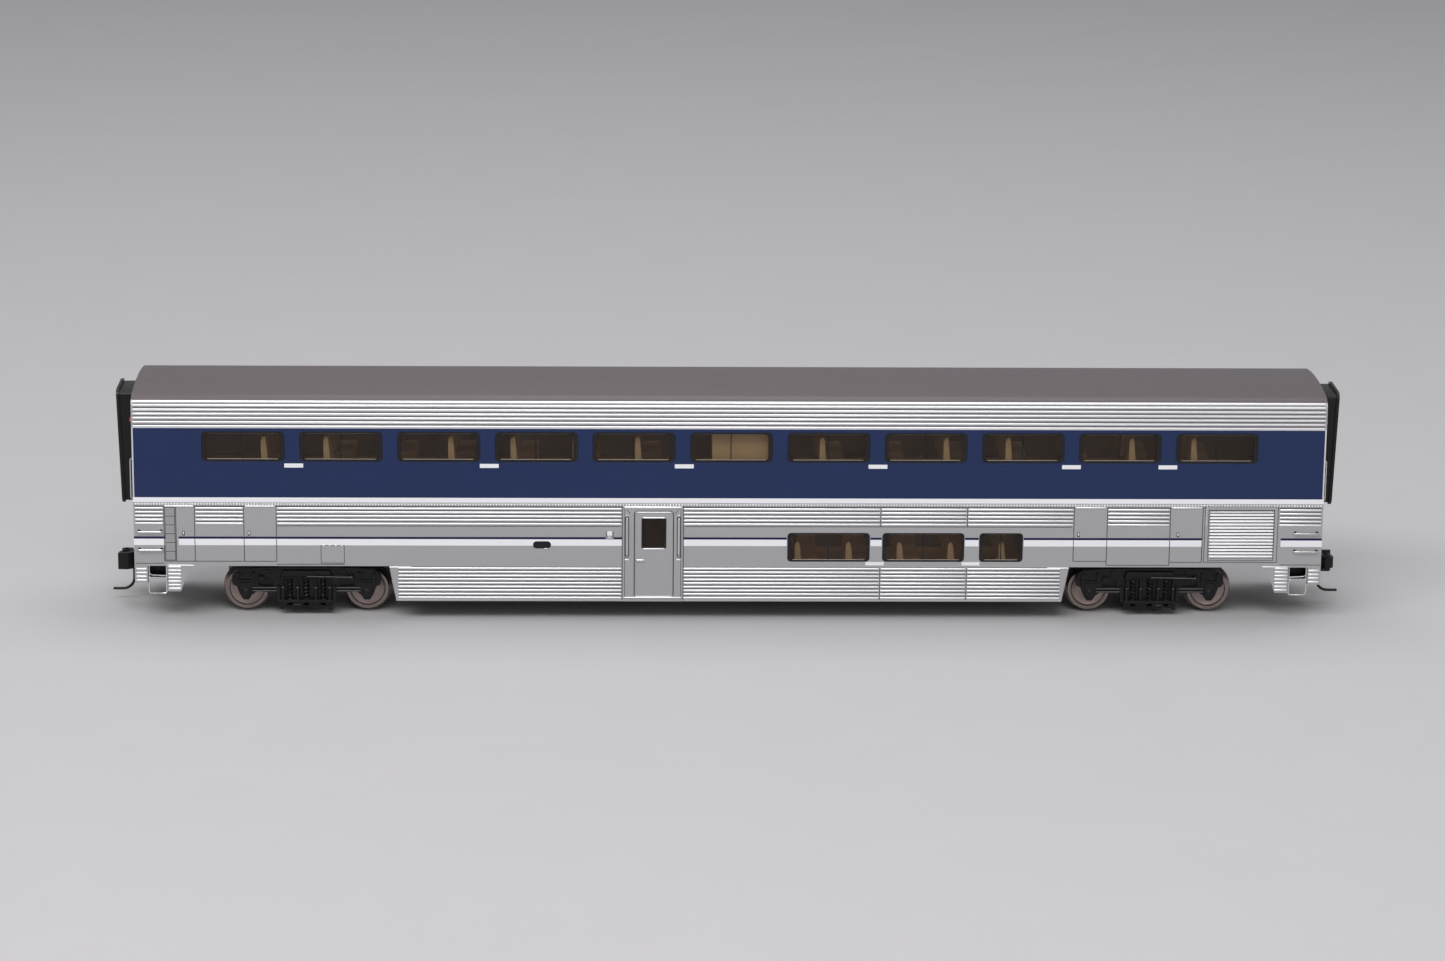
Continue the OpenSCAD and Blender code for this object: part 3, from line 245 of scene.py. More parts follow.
class Shape:
    """Gathers closed solids, in millimetres, and turns them into one object in metres."""

    def __init__(self, *materials):
        self.points = []
        self.faces = []
        self.slots = []
        self.materials = materials

    def add(self, points, faces, slot=0):
        base = len(self.points)
        self.points += [tuple(p) for p in points]
        self.faces += [tuple(base + i for i in face) for face in faces]
        self.slots += [slot] * len(faces)

    def rings(self, rings, slot=0, closed=False):
        """Skin over rings of equally many points, with a flat cap on each end unless it is closed."""
        count = len(rings[0])
        points = [p for ring in rings for p in ring]
        steps = len(rings) if closed else len(rings) - 1
        faces = []
        for i in range(steps):
            a, b = i * count, (i + 1) % len(rings) * count
            for k in range(count):
                n = (k + 1) % count
                faces.append((a + k, a + n, b + n, b + k))
        if not closed:
            faces.append(tuple(reversed(range(count))))
            faces.append(tuple(range(len(points) - count, len(points))))
        self.add(points, faces, slot)

    def plate(self, place, outline, low, high, holes=(), slot=0):
        """Flat plate with openings. place turns (u, v, depth) into a point; depth runs from low to high."""
        loops = [outline, *holes]
        flat = [p for loop in loops for p in loop]
        triangles = tessellate_polygon([[Vector((u, v, 0)) for u, v in loop] for loop in loops])
        count = len(flat)
        points = [place(u, v, low) for u, v in flat] + [place(u, v, high) for u, v in flat]
        faces = [tuple(t) for t in triangles] + [tuple(count + i for i in reversed(t)) for t in triangles]
        start = 0
        for loop in loops:
            for i in range(len(loop)):
                a, b = start + i, start + (i + 1) % len(loop)
                faces.append((a, b, b + count, a + count))
            start += len(loop)
        self.add(points, faces, slot)

    def block(self, low, high, slot=0):
        (x0, y0, z0), (x1, y1, z1) = low, high
        self.rings([[(x, y0, z0), (x, y1, z0), (x, y1, z1), (x, y0, z1)] for x in (x0, x1)], slot)

    def tube(self, path, radius, sides=10, slot=0, closed=False):
        """Round wire along a path of points, with mitred bends."""
        path = [Vector(p) for p in path]
        rings = []
        normal = None
        for i, p in enumerate(path):
            before = path[i - 1] if i or closed else p
            after = path[(i + 1) % len(path)] if i + 1 < len(path) or closed else p
            heading = (after - before).normalized()
            if normal is None:
                normal = heading.orthogonal().normalized()
            normal = (normal - heading * normal.dot(heading)).normalized()
            other = heading.cross(normal)
            rings.append([p + radius * (math.cos(a) * normal + math.sin(a) * other)
                          for a in (2 * math.pi * k / sides for k in range(sides))])
        self.rings(rings, slot, closed)

    def lathe(self, profile, place, segments=48, slot=0, slots=None):
        """Turns (radius, height) points round an axis; the profile is a closed loop."""
        count = len(profile)
        points = [place(r * math.cos(a), r * math.sin(a), h)
                  for a in (2 * math.pi * k / segments for k in range(segments)) for r, h in profile]
        base = len(self.points)
        self.points += [tuple(p) for p in points]
        for k in range(segments):
            n = (k + 1) % segments
            for i in range(count):
                j = (i + 1) % count
                self.faces.append((base + k * count + i, base + k * count + j,
                                   base + n * count + j, base + n * count + i))
                self.slots.append(slots[i] if slots else slot)

    def build(self, name, body, finish_slot, replaces=(), bevel=0.0, smooth=32):
        mesh = bpy.data.meshes.new(name)
        mesh.from_pydata([(x * MM, y * MM, z * MM) for x, y, z in self.points], [], self.faces)
        for key in self.materials:
            mesh.materials.append(MATERIALS[key])
        mesh.polygons.foreach_set("material_index", self.slots)
        mesh.validate()
        work = bmesh.new()
        work.from_mesh(mesh)
        bmesh.ops.remove_doubles(work, verts=work.verts, dist=1e-8)
        bmesh.ops.recalc_face_normals(work, faces=work.faces)
        work.to_mesh(mesh)
        work.free()
        mesh.shade_smooth()
        mesh.set_sharp_from_angle(angle=math.radians(smooth))
        piece = bpy.data.objects.new(name, mesh)
        link(piece)
        if bevel:
            edge = piece.modifiers.new("edge", "BEVEL")
            edge.width = bevel * MM
            edge.segments = 2
            edge.limit_method = "ANGLE"
            edge.angle_limit = math.radians(40)
            edge.harden_normals = False
        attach(piece, body)
        if replaces:
            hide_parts(*replaces)

    def build_plated(self, name, replaces=(), bevel=0.0):
        self.build(name, "coach_body", "plated_plastic", replaces, bevel)


def circle(x, y, r, half_count):
    return [(x + r * math.cos(a), y + r * math.sin(a)) for a in
            (math.pi * k / half_count for k in range(2 * half_count))]


def round_rect(x0, z0, x1, z1, r, steps=6):
    corners = [(x1 - r, z1 - r, 0), (x0 + r, z1 - r, 90), (x0 + r, z0 + r, 180), (x1 - r, z0 + r, 270)]
    turns = [(x, z, math.radians(a + 90 * i / steps)) for x, z, a in corners for i in range(steps + 1)]
    return [(x + r * math.cos(a), z + r * math.sin(a)) for x, z, a in turns]


def mirrored(half):
    return half + [(-x, z) for x, z in reversed(half)]


def rect(x0, z0, x1, z1):
    return [(x0, z0), (x1, z0), (x1, z1), (x0, z1)]


def shrunk(x0, z0, x1, z1, d):
    return x0 + d, z0 + d, x1 - d, z1 - d


def on_side(side):
    """Places (x, z, t) on one side of the coach."""
    return lambda x, z, t: (x, side * t, z)


def on_end(end):
    """Places (y, z, distance along the coach) at one end."""
    return lambda y, z, x: (end * x, y, z)


def arc_points(centre, radius, start, stop, steps):
    return [(centre[0] + radius * math.cos(start + (stop - start) * i / steps),
             centre[1] + radius * math.sin(start + (stop - start) * i / steps)) for i in range(steps + 1)]


def rounded_path(points, r, steps=4):
    """Rounds the inner corners of an open path of points."""
    points = [Vector(p) for p in points]
    path = [points[0]]
    for before, here, after in zip(points, points[1:], points[2:]):
        a = here + (before - here).normalized() * r
        b = here + (after - here).normalized() * r
        for i in range(steps + 1):
            s = i / steps
            path.append((1 - s) ** 2 * a + 2 * s * (1 - s) * here + s * s * b)
    return path + [points[-1]]


def rib(shape, side, x0, x1, z, half_h, height, base=HALF_W, lean=0.0, slot=0):
    """Long convex rib on a side, with its ends rounded off. lean tilts it back on the shoulder."""
    taper = min(0.35, (x1 - x0) / 4)
    rings = []
    for x, s in ((x0, 0.35), (x0 + taper * 0.35, 0.8), (x0 + taper, 1), (x1 - taper, 1),
                 (x1 - taper * 0.35, 0.8), (x1, 0.35)):
        ring = []
        for a in [math.radians(-90 + 180 * i / 8) for i in range(9)]:
            out, up = height * s * math.cos(a), half_h * s * math.sin(a)
            ring.append((x, out, up))
        ring += [(x, -0.15, half_h * s), (x, -0.15, -half_h * s)]
        rings.append(ring)
    turned = []
    for ring in rings:
        turned.append([(x, side * (base + out * math.cos(lean) - up * math.sin(lean)),
                        z + out * math.sin(lean) + up * math.cos(lean)) for x, out, up in ring])
    shape.rings(turned, slot)


# ---- Sides ----

def upper_windows(inset_x=0.0, inset_z=0.0, r=1.1):
    for i in range(WINDOW_COUNT):
        x = (i - (WINDOW_COUNT - 1) / 2) * WINDOW_PITCH
        yield round_rect(x - WINDOW_W / 2 + inset_x, WINDOW_Z + inset_z,
                         x + WINDOW_W / 2 - inset_x, WINDOW_TOP_Z - inset_z, r)


def lower_windows(inset_x=0.0, inset_z=0.0, r=0.9):
    for x0, x1 in PANE_SETS:
        yield round_rect(x0 + inset_x, PANE_Z + inset_z, x1 - inset_x, PANE_TOP_Z - inset_z, r)


def side_outline():
    curve = []
    for i in range(8, -1, -1):
        s = i / 8
        curve.append((STEP_SLOPE_X + (STEP_IN_X - STEP_SLOPE_X) * s, SIDE_Z - (SIDE_Z - STEP_LOW_Z) * s ** 1.7))
    half = [(HALF_L, EAVE_Z), (HALF_L, CORNER_LOW_Z), (WELL_OUT_X, CORNER_LOW_Z), (WELL_OUT_X, SIDE_Z),
            (STEP_OUT_X, SIDE_Z), (STEP_OUT_X, STEP_LOW_Z), *curve,
            (SKIRT_TOP_X, SIDE_Z), (SKIRT_LOW_X, SKIRT_Z)]
    return mirrored(half)


def shoulder_strip(radius_out, radius_in, start, stop, steps):
    """Outline in (t, z) of a strip of the shoulder between two angles."""
    centre = (SHOULDER_T, EAVE_Z)
    return (arc_points(centre, radius_out, start, stop, steps)
            + list(reversed(arc_points(centre, radius_in, start, stop, steps))))


def along(shape, side, outline, x0, x1, slot=0):
    shape.rings([[(x, side * t, z) for t, z in outline] for x in (x0, x1)], slot)


def skin(shape, side, outline, proud, holes=(), slot=0):
    """Thin plate set into a side, standing a little proud of it."""
    shape.plate(on_side(side), outline, HALF_W - 0.05, HALF_W + proud, holes, slot)


def flute_bank(shape, side, x0, x1, z, pitch, count, half_h):
    for i in range(count):
        rib(shape, side, x0, x1, z + pitch * i, half_h, FLUTE_H)


def span(end, near_x, far_x):
    """Run along the coach, given from its middle outwards, at one end."""
    return sorted((end * near_x, end * far_x))


def make_side(name, side):
    place = on_side(side)
    wall = Shape("silver")
    wall.plate(place, side_outline(), HALF_W - WALL, HALF_W,
               [*upper_windows(), *lower_windows(), round_rect(*DOOR, 1.0), rect(*GRILLE)])
    along(wall, side, shoulder_strip(SHOULDER_R, SHOULDER_R - WALL, 0, SEAM_A - 0.02, 14), -HALF_L, HALF_L)
    lip = [(HALF_W, SKIRT_Z), (HALF_W + 0.1, SKIRT_Z + 0.1), (HALF_W + 0.1, SKIRT_Z + 0.32),
           (HALF_W, SKIRT_Z + 0.42)]
    along(wall, side, lip, -SKIRT_LOW_X + 0.1, DOOR_FRAME[0] - 0.1)
    along(wall, side, lip, DOOR_FRAME[2] + 0.1, SKIRT_LOW_X - 0.1)
    wall.build_plated("side_wall_" + name, ["body_shell"])

    flutes = Shape("bright")
    flute_bank(flutes, side, -HALF_L + 0.3, HALF_L - 0.3, 48.88, 1.04, 5, 0.33)
    for angle in (14, 32):
        a = math.radians(angle)
        rib(flutes, side, -HALF_L + 0.3, HALF_L - 0.3, EAVE_Z + SHOULDER_R * math.sin(a), 0.33, FLUTE_H,
            SHOULDER_T + SHOULDER_R * math.cos(a), a)
    for run in MID_FLUTES:
        flute_bank(flutes, side, *run, 24.47, 0.96, 5, 0.29)
    for run in LOW_FLUTES:
        flute_bank(flutes, side, *run, 5.73, 0.93, 9, 0.28)
    for end in (-1, 1):
        flute_bank(flutes, side, *span(end, STEP_IN_X - 0.2, STEP_OUT_X - 0.1), 7.9, 0.92, 7, 0.28)
        flute_bank(flutes, side, *span(end, WELL_OUT_X + 0.15, HALF_L - 0.3), 10.0, 0.96, 4, 0.28)
        rib(flutes, side, *span(end, STEP_SLOPE_X + 0.1, STEP_OUT_X), SIDE_Z + 0.12, 0.18, 0.16)
        rib(flutes, side, *span(end, 78.0, SKIRT_TOP_X), SIDE_Z - 0.3, 0.2, 0.16)
        x0, x1 = span(end, HALF_L - 0.34, HALF_L - 0.04)
        skin(flutes, side, rect(x0, BLUE_Z[0], x1, EAVE_Z - 4.7), 0.06)
    skin(flutes, side, rect(-HALF_L + 0.4, BLUE_Z[1], HALF_L - 0.4, BLUE_Z[1] + 0.14), 0.1)
    flutes.build_plated("flutes_" + name, ["body_shell"])
    # Grey plates under the flute banks and along the shoulder: painted shade in the gaps between the ribs.
    shade = Shape("shade")
    bank = [(x0 + 0.2, 24.2, x1 - 0.2, 28.85) for x0, x1 in MID_FLUTES]
    bank += [(x0 + 0.2, 5.5, x1 - 0.2, 13.6) for x0, x1 in LOW_FLUTES]
    bank.append((-HALF_L + 0.5, 48.75, HALF_L - 0.5, 53.4))
    for low_x, low_z, high_x, high_z in bank:
        skin(shade, side, rect(low_x, low_z, high_x, high_z), 0.015)
    along(shade, side, shoulder_strip(SHOULDER_R + 0.015, SHOULDER_R - 0.05, 0, SEAM_A - 0.04, 12),
          -HALF_L + 0.5, HALF_L - 0.5)
    shade.build_plated("flute_painted_shade_" + name)

    paint = Shape("blue", "white", "navy", "rubber")
    paint.plate(place, rect(-HALF_L + 0.4, BLUE_Z[0], HALF_L - 0.4, BLUE_Z[1]), HALF_W - 0.01, HALF_W + SKIN,
                list(upper_windows()))
    # Black rubber rims round the upper windows are the gaskets; they reach further out on the right, and that
    # wider right-hand edge is painted shade.
    for outer, inner in zip(upper_windows(-0.3, -0.14, 1.3), upper_windows()):
        paint.plate(place, [(x + 0.14, z) for x, z in outer], HALF_W - 0.01, HALF_W + 1.5 * SKIN, [inner], 3)
    paint.plate(place, rect(-HALF_L, WHITE_Z[0], HALF_L, WHITE_Z[1]), HALF_W - 0.01, HALF_W + SKIN, slot=1)
    for x0, x1 in STRIPES:
        paint.plate(place, rect(x0, LOW_WHITE_Z[0], x1, LOW_WHITE_Z[1]), HALF_W - 0.01, HALF_W + SKIN, slot=1)
        paint.plate(place, rect(x0, NAVY_Z[0], x1, NAVY_Z[1]), HALF_W - 0.01, HALF_W + SKIN, slot=2)
    for i in range(WINDOW_COUNT):
        x = (i - (WINDOW_COUNT - 1) / 2) * WINDOW_PITCH
        rib(paint, side, x - WINDOW_W / 2 + 0.6, x + WINDOW_W / 2 - 0.6, WINDOW_Z - 0.46, 0.1, 0.1)
    for i, shift in ((0.5, 0.5), (2.5, 0.5), (4.5, 0.5), (6.5, 0.3), (8.5, 0.15), (9.5, 0.05)):
        x = (i - (WINDOW_COUNT - 1) / 2) * WINDOW_PITCH + shift
        paint.plate(place, rect(x - 2.3, 38.64, x + 2.3, 39.65), HALF_W - 0.01, HALF_W + 2 * SKIN, slot=1)
    for x0, x1 in ((33.3, 37.8), (57.0, 61.4)):
        paint.plate(place, rect(x0, 14.1, x1, 14.95), HALF_W - 0.01, HALF_W + 2 * SKIN, slot=1)
    paint.build_plated("paint_bands_" + name)

    make_rail(name, side)
    make_trim(name, side)
    make_glazing(name, side)
    make_door(name, side)
    make_grille(name, side)


def make_rail(name, side):
    """Half-round rail under the white stripe, set with a row of small beads."""
    rail = Shape("silver", "bright", "groove")
    middle = 29.33
    rib(rail, side, -HALF_L + 0.2, HALF_L - 0.2, middle, 0.42, 0.07)
    rail.plate(on_side(side), rect(-HALF_L + 0.3, middle - 0.56, HALF_L - 0.3, middle - 0.44),
               HALF_W - 0.05, HALF_W + 0.04, slot=2)
    x = -HALF_L + 0.7
    while x < HALF_L - 0.5:
        rings = []
        for r, out in ((0.26, -0.02), (0.24, 0.10), (0.13, 0.17)):
            rings.append([(x + r * math.cos(a), side * (HALF_W + out), middle + 0.85 * r * math.sin(a))
                          for a in (math.pi * k / 4 for k in range(8))])
        rail.rings(rings, 1)
        x += 0.72
    rail.build_plated("bead_rail_" + name)


def make_trim(name, side):
    """Panel joints, hatches, latches, rivets and the ladder panel."""
    place = on_side(side)
    lines = Shape("groove")
    upright = [(36.9, 24.0, 28.9), (58.2, 24.0, 28.9), (36.9, 5.3, 13.4), (58.2, 5.3, 13.4),
               (-138.3, 14.9, 28.9), (-135.4, 14.9, 28.9), (-130.85, 14.9, 29.0), (-118.85, 14.9, 29.0),
               (-110.95, 14.9, 29.0), (84.4, 15.2, 29.0), (92.6, 14.2, 29.0), (108.1, 14.2, 29.0),
               (116.1, 15.0, 29.0), (-26.47, 5.0, 29.0), (-11.48, 5.0, 29.0)]
    level = [(14.15, -110.95, -94.4), (14.9, -138.3, -110.95), (15.2, 84.4, 92.6), (14.2, 92.6, 108.1),
             (15.0, 108.1, 116.1),
             (14.35, -145.5, -138.3), (14.35, 135.5, 145.5), (23.9, -110.9, -26.9), (23.9, -11.1, 84.0)]
    for x, z0, z1 in upright:
        skin(lines, side, rect(x - 0.09, z0, x + 0.09, z1), 0.045)
    for z, x0, x1 in level:
        skin(lines, side, rect(x0, z - 0.07, x1, z + 0.07), 0.045)
    for box in ((-100.2, 14.4, -94.4, 19.0), (-138.1, 15.1, -135.6, 28.7)):
        skin(lines, side, rect(*box), 0.04, [rect(*shrunk(*box, 0.14))])
    lines.build_plated("panel_joints_" + name)

    trim = Shape("silver", "bright", "black")
    for i in range(6):
        z = 15.3 + 2.23 * i
        for row in range(4):
            for column in range(4):
                x = -137.8 + 0.56 * column
                skin(trim, side, rect(x, z + 0.05 + 0.5 * row, x + 0.36, z + 0.35 + 0.5 * row), 0.12)
        skin(trim, side, rect(-138.0, z + 2.04, -135.7, z + 2.14), 0.05, slot=2)
    for x in (-99.5, -98.0, -96.5, -95.0):
        stud(trim, side, x, 18.95, 0.24, 0.2, 1)
    for x, z in ((-133.6, 22.0), (-117.6, 22.0), (85.6, 22.0), (110.1, 22.0)):
        skin(trim, side, rect(x - 0.3, z - 0.55, x + 0.3, z + 0.55), 0.05, slot=2)
        rib(trim, side, x - 0.2, x + 0.2, z, 0.42, 0.2, slot=1)
    for i in range(9):
        stud(trim, side, 117.0, 24.6 + 0.55 * i, 0.2, 0.24, 1)
    for x0, x1 in ((-118.6, -111.2), (84.6, 92.4), (108.3, 116.0), (-138.2, -131.0)):
        rib(trim, side, x0, x1, 28.85, 0.22, 0.22, slot=1)
    trim.plate(place, round_rect(-48.3, 18.3, -43.9, 20.1, 0.88, 8), HALF_W - 0.02, HALF_W + 0.07, slot=2)
    # Bright rib at the vent's lower right edge: a painted glint.
    rib(trim, side, -45.6, -44.6, 18.25, 0.12, 0.16, slot=1)
    for x in (139.0, 144.4, -144.4, -139.0):
        for z in GRAB_ZS:
            stud(trim, side, x, z + 0.1, 0.36, 0.1, 2)
    trim.build_plated("side_trim_" + name)


def stud(shape, side, x, z, r, height, slot):
    rings = []
    for s, out in ((1, -0.05), (0.95, 0.6 * height), (0.55, height)):
        rings.append([(x + r * s * math.cos(a), side * (HALF_W + out), z + r * s * math.sin(a))
                      for a in (math.pi * k / 6 for k in range(12))])
    shape.rings(rings, slot)


def make_glazing(name, side):
    place = on_side(side)
    for level, windows, rows in (("upper", upper_windows, (WINDOW_Z, WINDOW_TOP_Z)),
                                 ("lower", lower_windows, (PANE_Z, PANE_TOP_Z))):
        panes = Shape("glass")
        for outline in windows(0.08, 0.08, 1.0):
            panes.plate(place, outline, HALF_W - 0.75, HALF_W - 0.3)
        panes.build(f"{level}_panes_{name}", "coach_body", "tinted_glazing", [f"{level}_glazing_{name}"])
        rims = Shape("rubber", "glint")
        for outer, inner in zip(windows(0.02, 0.02, 1.08), windows(0.72, 0.34, 0.9)):
            rims.plate(place, outer, HALF_W - 0.32, HALF_W - 0.02, [inner])
        for outline in windows(0.72, 0.34, 0.9):
            x0, x1 = min(p[0] for p in outline), max(p[0] for p in outline)
            middle = (x0 + x1) / 2
            rims.plate(place, rect(middle - 0.13, rows[0] + 0.3, middle + 0.13, rows[1] - 0.3),
                       HALF_W - 0.34, HALF_W - 0.24)
            # Light ribs along the lower and upper inner edges of each window: painted highlights on the glass
            # edges.
            rib(rims, side, x0 + 0.5, x1 - 0.5, rows[0] + 0.44, 0.1, 0.09, HALF_W - 0.3, slot=1)
            rib(rims, side, x0 + 0.9, x1 - 0.9, rows[1] - 0.4, 0.06, 0.06, HALF_W - 0.3, slot=1)
        rims.build(f"{level}_gaskets_{name}", "coach_body", "tinted_glazing")


def make_door(name, side):
    place = on_side(side)
    frame_piece = Shape("silver", "bright", "groove")
    x0, z0, x1, z1 = DOOR_FRAME
    frame_piece.plate(place, rect(x0, z0, x1, z1), HALF_W - 0.2, HALF_W + 0.12, [round_rect(*DOOR, 1.0)])
    rib(frame_piece, side, x0 + 0.3, x1 - 0.3, z1 - 0.45, 0.34, 0.34, slot=1)
    rib(frame_piece, side, x0 + 0.2, x1 - 0.2, z0 + 0.2, 0.22, 0.3, slot=1)
    for x in RAIL_XS:
        # Dark strips either side of each handrail: painted shadow of the rail on the door surround.
        for dx in (-0.5, 0.32):
            frame_piece.plate(place, rect(x + dx, RAIL_LOW_Z, x + dx + 0.18, RAIL_HIGH_Z + 0.1),
                              HALF_W + 0.05, HALF_W + 0.15, slot=2)
        for z in (16.55, 26.0):
            stud(frame_piece, side, x, z, 0.52, 0.2, 2)
        rib(frame_piece, side, x - 0.6, x + 0.6, 15.45, 0.2, 0.26, slot=1)
        rib(frame_piece, side, x - 0.25, x + 0.25, 26.75, 0.2, 0.26, slot=1)
    for x in (x0 + 0.5, x1 - 0.5):
        frame_piece.plate(place, rect(x - 0.07, 5.7, x + 0.07, 28.6), HALF_W + 0.05, HALF_W + 0.14, slot=2)
    for s in (-1, 1):
        middle = DOOR_X - 0.3
        frame_piece.plate(place, [(middle + s * 6.3, 28.3), (middle + s * 6.6, 28.5), (middle + s * 5.6, 27.1),
                                  (middle + s * 5.45, 27.2)], HALF_W + 0.05, HALF_W + 0.14, slot=2)
    frame_piece.build_plated("door_surround_" + name, bevel=0.06)

    face = HALF_W - 0.35
    leaf = Shape("silver", "bright", "rubber", "steel")
    x0, z0, x1, z1 = DOOR
    leaf.plate(place, round_rect(*shrunk(*DOOR, 0.08), 0.95), HALF_W - WALL, face, [round_rect(*DOOR_PANE, 0.5)])
    rib(leaf, side, x0 + 0.5, x1 - 0.5, z1 - 0.6, 0.2, 0.22, face, slot=1)
    rib(leaf, side, x0 + 0.4, x1 - 0.4, z0 + 0.35, 0.12, 0.12, face, slot=1)
    x0, z0, x1, z1 = DOOR_PANE
    leaf.plate(place, round_rect(*shrunk(*DOOR_PANE, -0.35), 0.6), face - 0.02, face + 0.07,
               [round_rect(*DOOR_PANE, 0.5)], 2)
    for z in (z0 - 0.3, z1 + 0.3):
        rib(leaf, side, x0 - 0.1, x1 + 0.1, z, 0.2, 0.16, face + 0.04, slot=1)
    rib(leaf, side, -23.1, -20.9, 15.2, 0.36, 0.33, face + 0.02, slot=3)
    for x in (DOOR[0] + 0.12, DOOR[2] - 0.12):
        leaf.plate(place, rect(x - 0.09, 5.9, x + 0.09, 27.4), face - 0.05, face + 0.03, slot=2)
    leaf.build_plated("door_leaf_" + name, ["side_doors"], bevel=0.05)

    pane = Shape("glass")
    pane.plate(place, round_rect(*shrunk(*DOOR_PANE, 0.05), 0.5), face - 0.45, face - 0.1)
    pane.build("door_pane_" + name, "coach_body", "tinted_glazing")


def make_grille(name, side):
    place = on_side(side)
    shape = Shape("silver", "plate", "groove")
    x0, z0, x1, z1 = GRILLE
    shape.plate(place, rect(*GRILLE_FRAME), HALF_W - 0.2, HALF_W + 0.12, [rect(*GRILLE)])
    for inset in (0.02, 0.9):
        outer = [GRILLE_FRAME[0] + inset, GRILLE_FRAME[1] + inset * 0.5,
                 GRILLE_FRAME[2] - inset, GRILLE_FRAME[3] - inset]
        shape.plate(place, rect(*outer), HALF_W + 0.05, HALF_W + 0.14, [rect(*shrunk(*outer, 0.14))], 2)
    shape.plate(place, rect(*shrunk(*GRILLE, -0.5)), HALF_W - WALL - 0.6, HALF_W - WALL - 0.05, slot=2)
    count = 15
    pitch = (z1 - z0) / count
    for i in range(count):
        z = z0 + (i + 0.5) * pitch
        outline = [(HALF_W - 0.6, z + 0.24), (HALF_W - 0.12, z - 0.26), (HALF_W + 0.02, z - 0.24),
                   (HALF_W + 0.04, z - 0.12), (HALF_W - 0.32, z + 0.29)]
        along(shape, side, outline, x0 + 0.1, x1 - 0.1, 1)
    shape.build_plated("grille_" + name, ["louvre_grilles"], bevel=0.03)


# ---- Roof and ends ----

def roof_half(radius_cut, start, shoulder_steps=10, crown_steps=26):
    """Half of the roof line in (t, z), from an angle on the shoulder to the crown."""
    points = arc_points((SHOULDER_T, EAVE_Z), SHOULDER_R - radius_cut, start, JOIN_A, shoulder_steps)
    points += arc_points((0, CROWN_Z - CROWN_R), CROWN_R - radius_cut, JOIN_A, math.pi / 2, crown_steps)[1:]
    return points


def full_roof(radius_cut, start):
    half = roof_half(radius_cut, start)
    return half + [(-t, z) for t, z in reversed(half[:-1])]


def make_roof():
    roof = Shape("roof")
    inner = list(reversed(full_roof(WALL, SEAM_A)))
    sections = []
    for x, cut in ((-HALF_L, 0.12), (-HALF_L + 0.25, 0), (HALF_L - 0.25, 0), (HALF_L, 0.12)):
        sections.append([(x, y, z) for y, z in full_roof(cut, SEAM_A) + inner])
    count = len(sections[0])
    points = [p for ring in sections for p in ring]
    faces = []
    for i in range(len(sections) - 1):
        for k in range(count):
            n = (k + 1) % count
            faces.append((i * count + k, i * count + n, (i + 1) * count + n, (i + 1) * count + k))
    half = count // 2
    for base in (0, (len(sections) - 1) * count):
        for k in range(half - 1):
            faces.append((base + k, base + k + 1, base + count - 2 - k, base + count - 1 - k))
    roof.add(points, faces)
    for end in (-1, 1):
        arch = full_roof(0.3, SEAM_A)
        notch = [(-6.8, arch[0][1]), (-6.8, 55.6), (6.8, 55.6), (6.8, arch[0][1])]
        x0, x1 = HALF_L - WALL, HALF_L - 0.02
        roof.plate(on_end(end), arch + notch, x0, x1)
    roof.build("roof_shell", "coach_body", "roof_paint", ["roof"])


def make_end(name, end):
    place = on_end(end)
    t = HALF_W - 0.3
    arc = arc_points((SHOULDER_T, EAVE_Z), SHOULDER_R - 0.3, 0, SEAM_A - 0.02, 8)
    side = [(t, SIDE_Z), *arc]
    outline = side + [(6.7, arc[-1][1]), (6.7, 27.0), (-6.7, 27.0), (-6.7, arc[-1][1])]
    outline += [(-y, z) for y, z in reversed(side)] + [(-4.0, SIDE_Z), (-4.0, 14.2), (4.0, 14.2), (4.0, SIDE_Z)]
    wall = Shape("silver")
    wall.plate(place, outline, HALF_L - WALL, HALF_L - 0.02)
    for y in (-15.8, -12.0, -9.0, 9.0, 12.0, 15.8):
        wall.plate(place, round_rect(y - 0.16, 16.5, y + 0.16, 46.5, 0.14, 3), HALF_L - 0.1, HALF_L + 0.1)
    wall.build_plated("end_wall_" + name, ["body_shell"])


# ---- Wire work ----

def make_wires():
    rails = Shape("steel")
    grabs = Shape("steel")
    steps = Shape("steel")
    out = HALF_W + 0.75
    for side in (-1, 1):
        root = side * (HALF_W - 0.3)
        for x in RAIL_XS:
            rails.tube(rounded_path([(x, root, RAIL_LOW_Z), (x, side * out, RAIL_LOW_Z),
                                     (x, side * out, RAIL_HIGH_Z), (x, root, RAIL_HIGH_Z)], 0.35), 0.22)
        for end in (-1, 1):
            for z in GRAB_ZS:
                grabs.tube(rounded_path([(end * 138.7, root, z), (end * 138.7, side * out, z),
                                         (end * 144.7, side * out, z), (end * 144.7, root, z)], 0.4), 0.18)
            near, far, y = end * (HALF_L - 0.3), end * (HALF_L + 0.75), side * 14.5
            grabs.tube(rounded_path([(near, y, 30), (far, y, 30), (far, y, 40), (near, y, 40)], 0.4), 0.18)
            t = HALF_W - WALL / 2
            y = side * t
            x0, x1 = end * (STEP_OUT_X + 0.25), end * (WELL_OUT_X - 0.25)
            start = (x0 + (x1 - x0) * 0.5, y, 6.6)
            loop = [start, (x1, y, 6.6), (x1, y, 10.5), (x0, y, 10.5), (x0, y, 6.6), start]
            steps.tube(rounded_path(loop, 0.6)[:-1], 0.21, closed=True)
            for x in (x0, x1):
                steps.tube([(x, y, 10.4), (x, y, SIDE_Z + 0.4)], 0.19)
            y = side * (t - 0.3)
            steps.tube(rounded_path([(x1, y, 13.2), (x1, y, 11.2), (x0, y, 11.0)], 0.9), 0.14)
    rails.build("handrails", "coach_body", "steel_wire", ["door_handrails"])
    grabs.build("grabs", "coach_body", "steel_wire", ["grab_irons"])
    steps.build("stirrups", "coach_body", "steel_wire", ["stirrup_steps"])


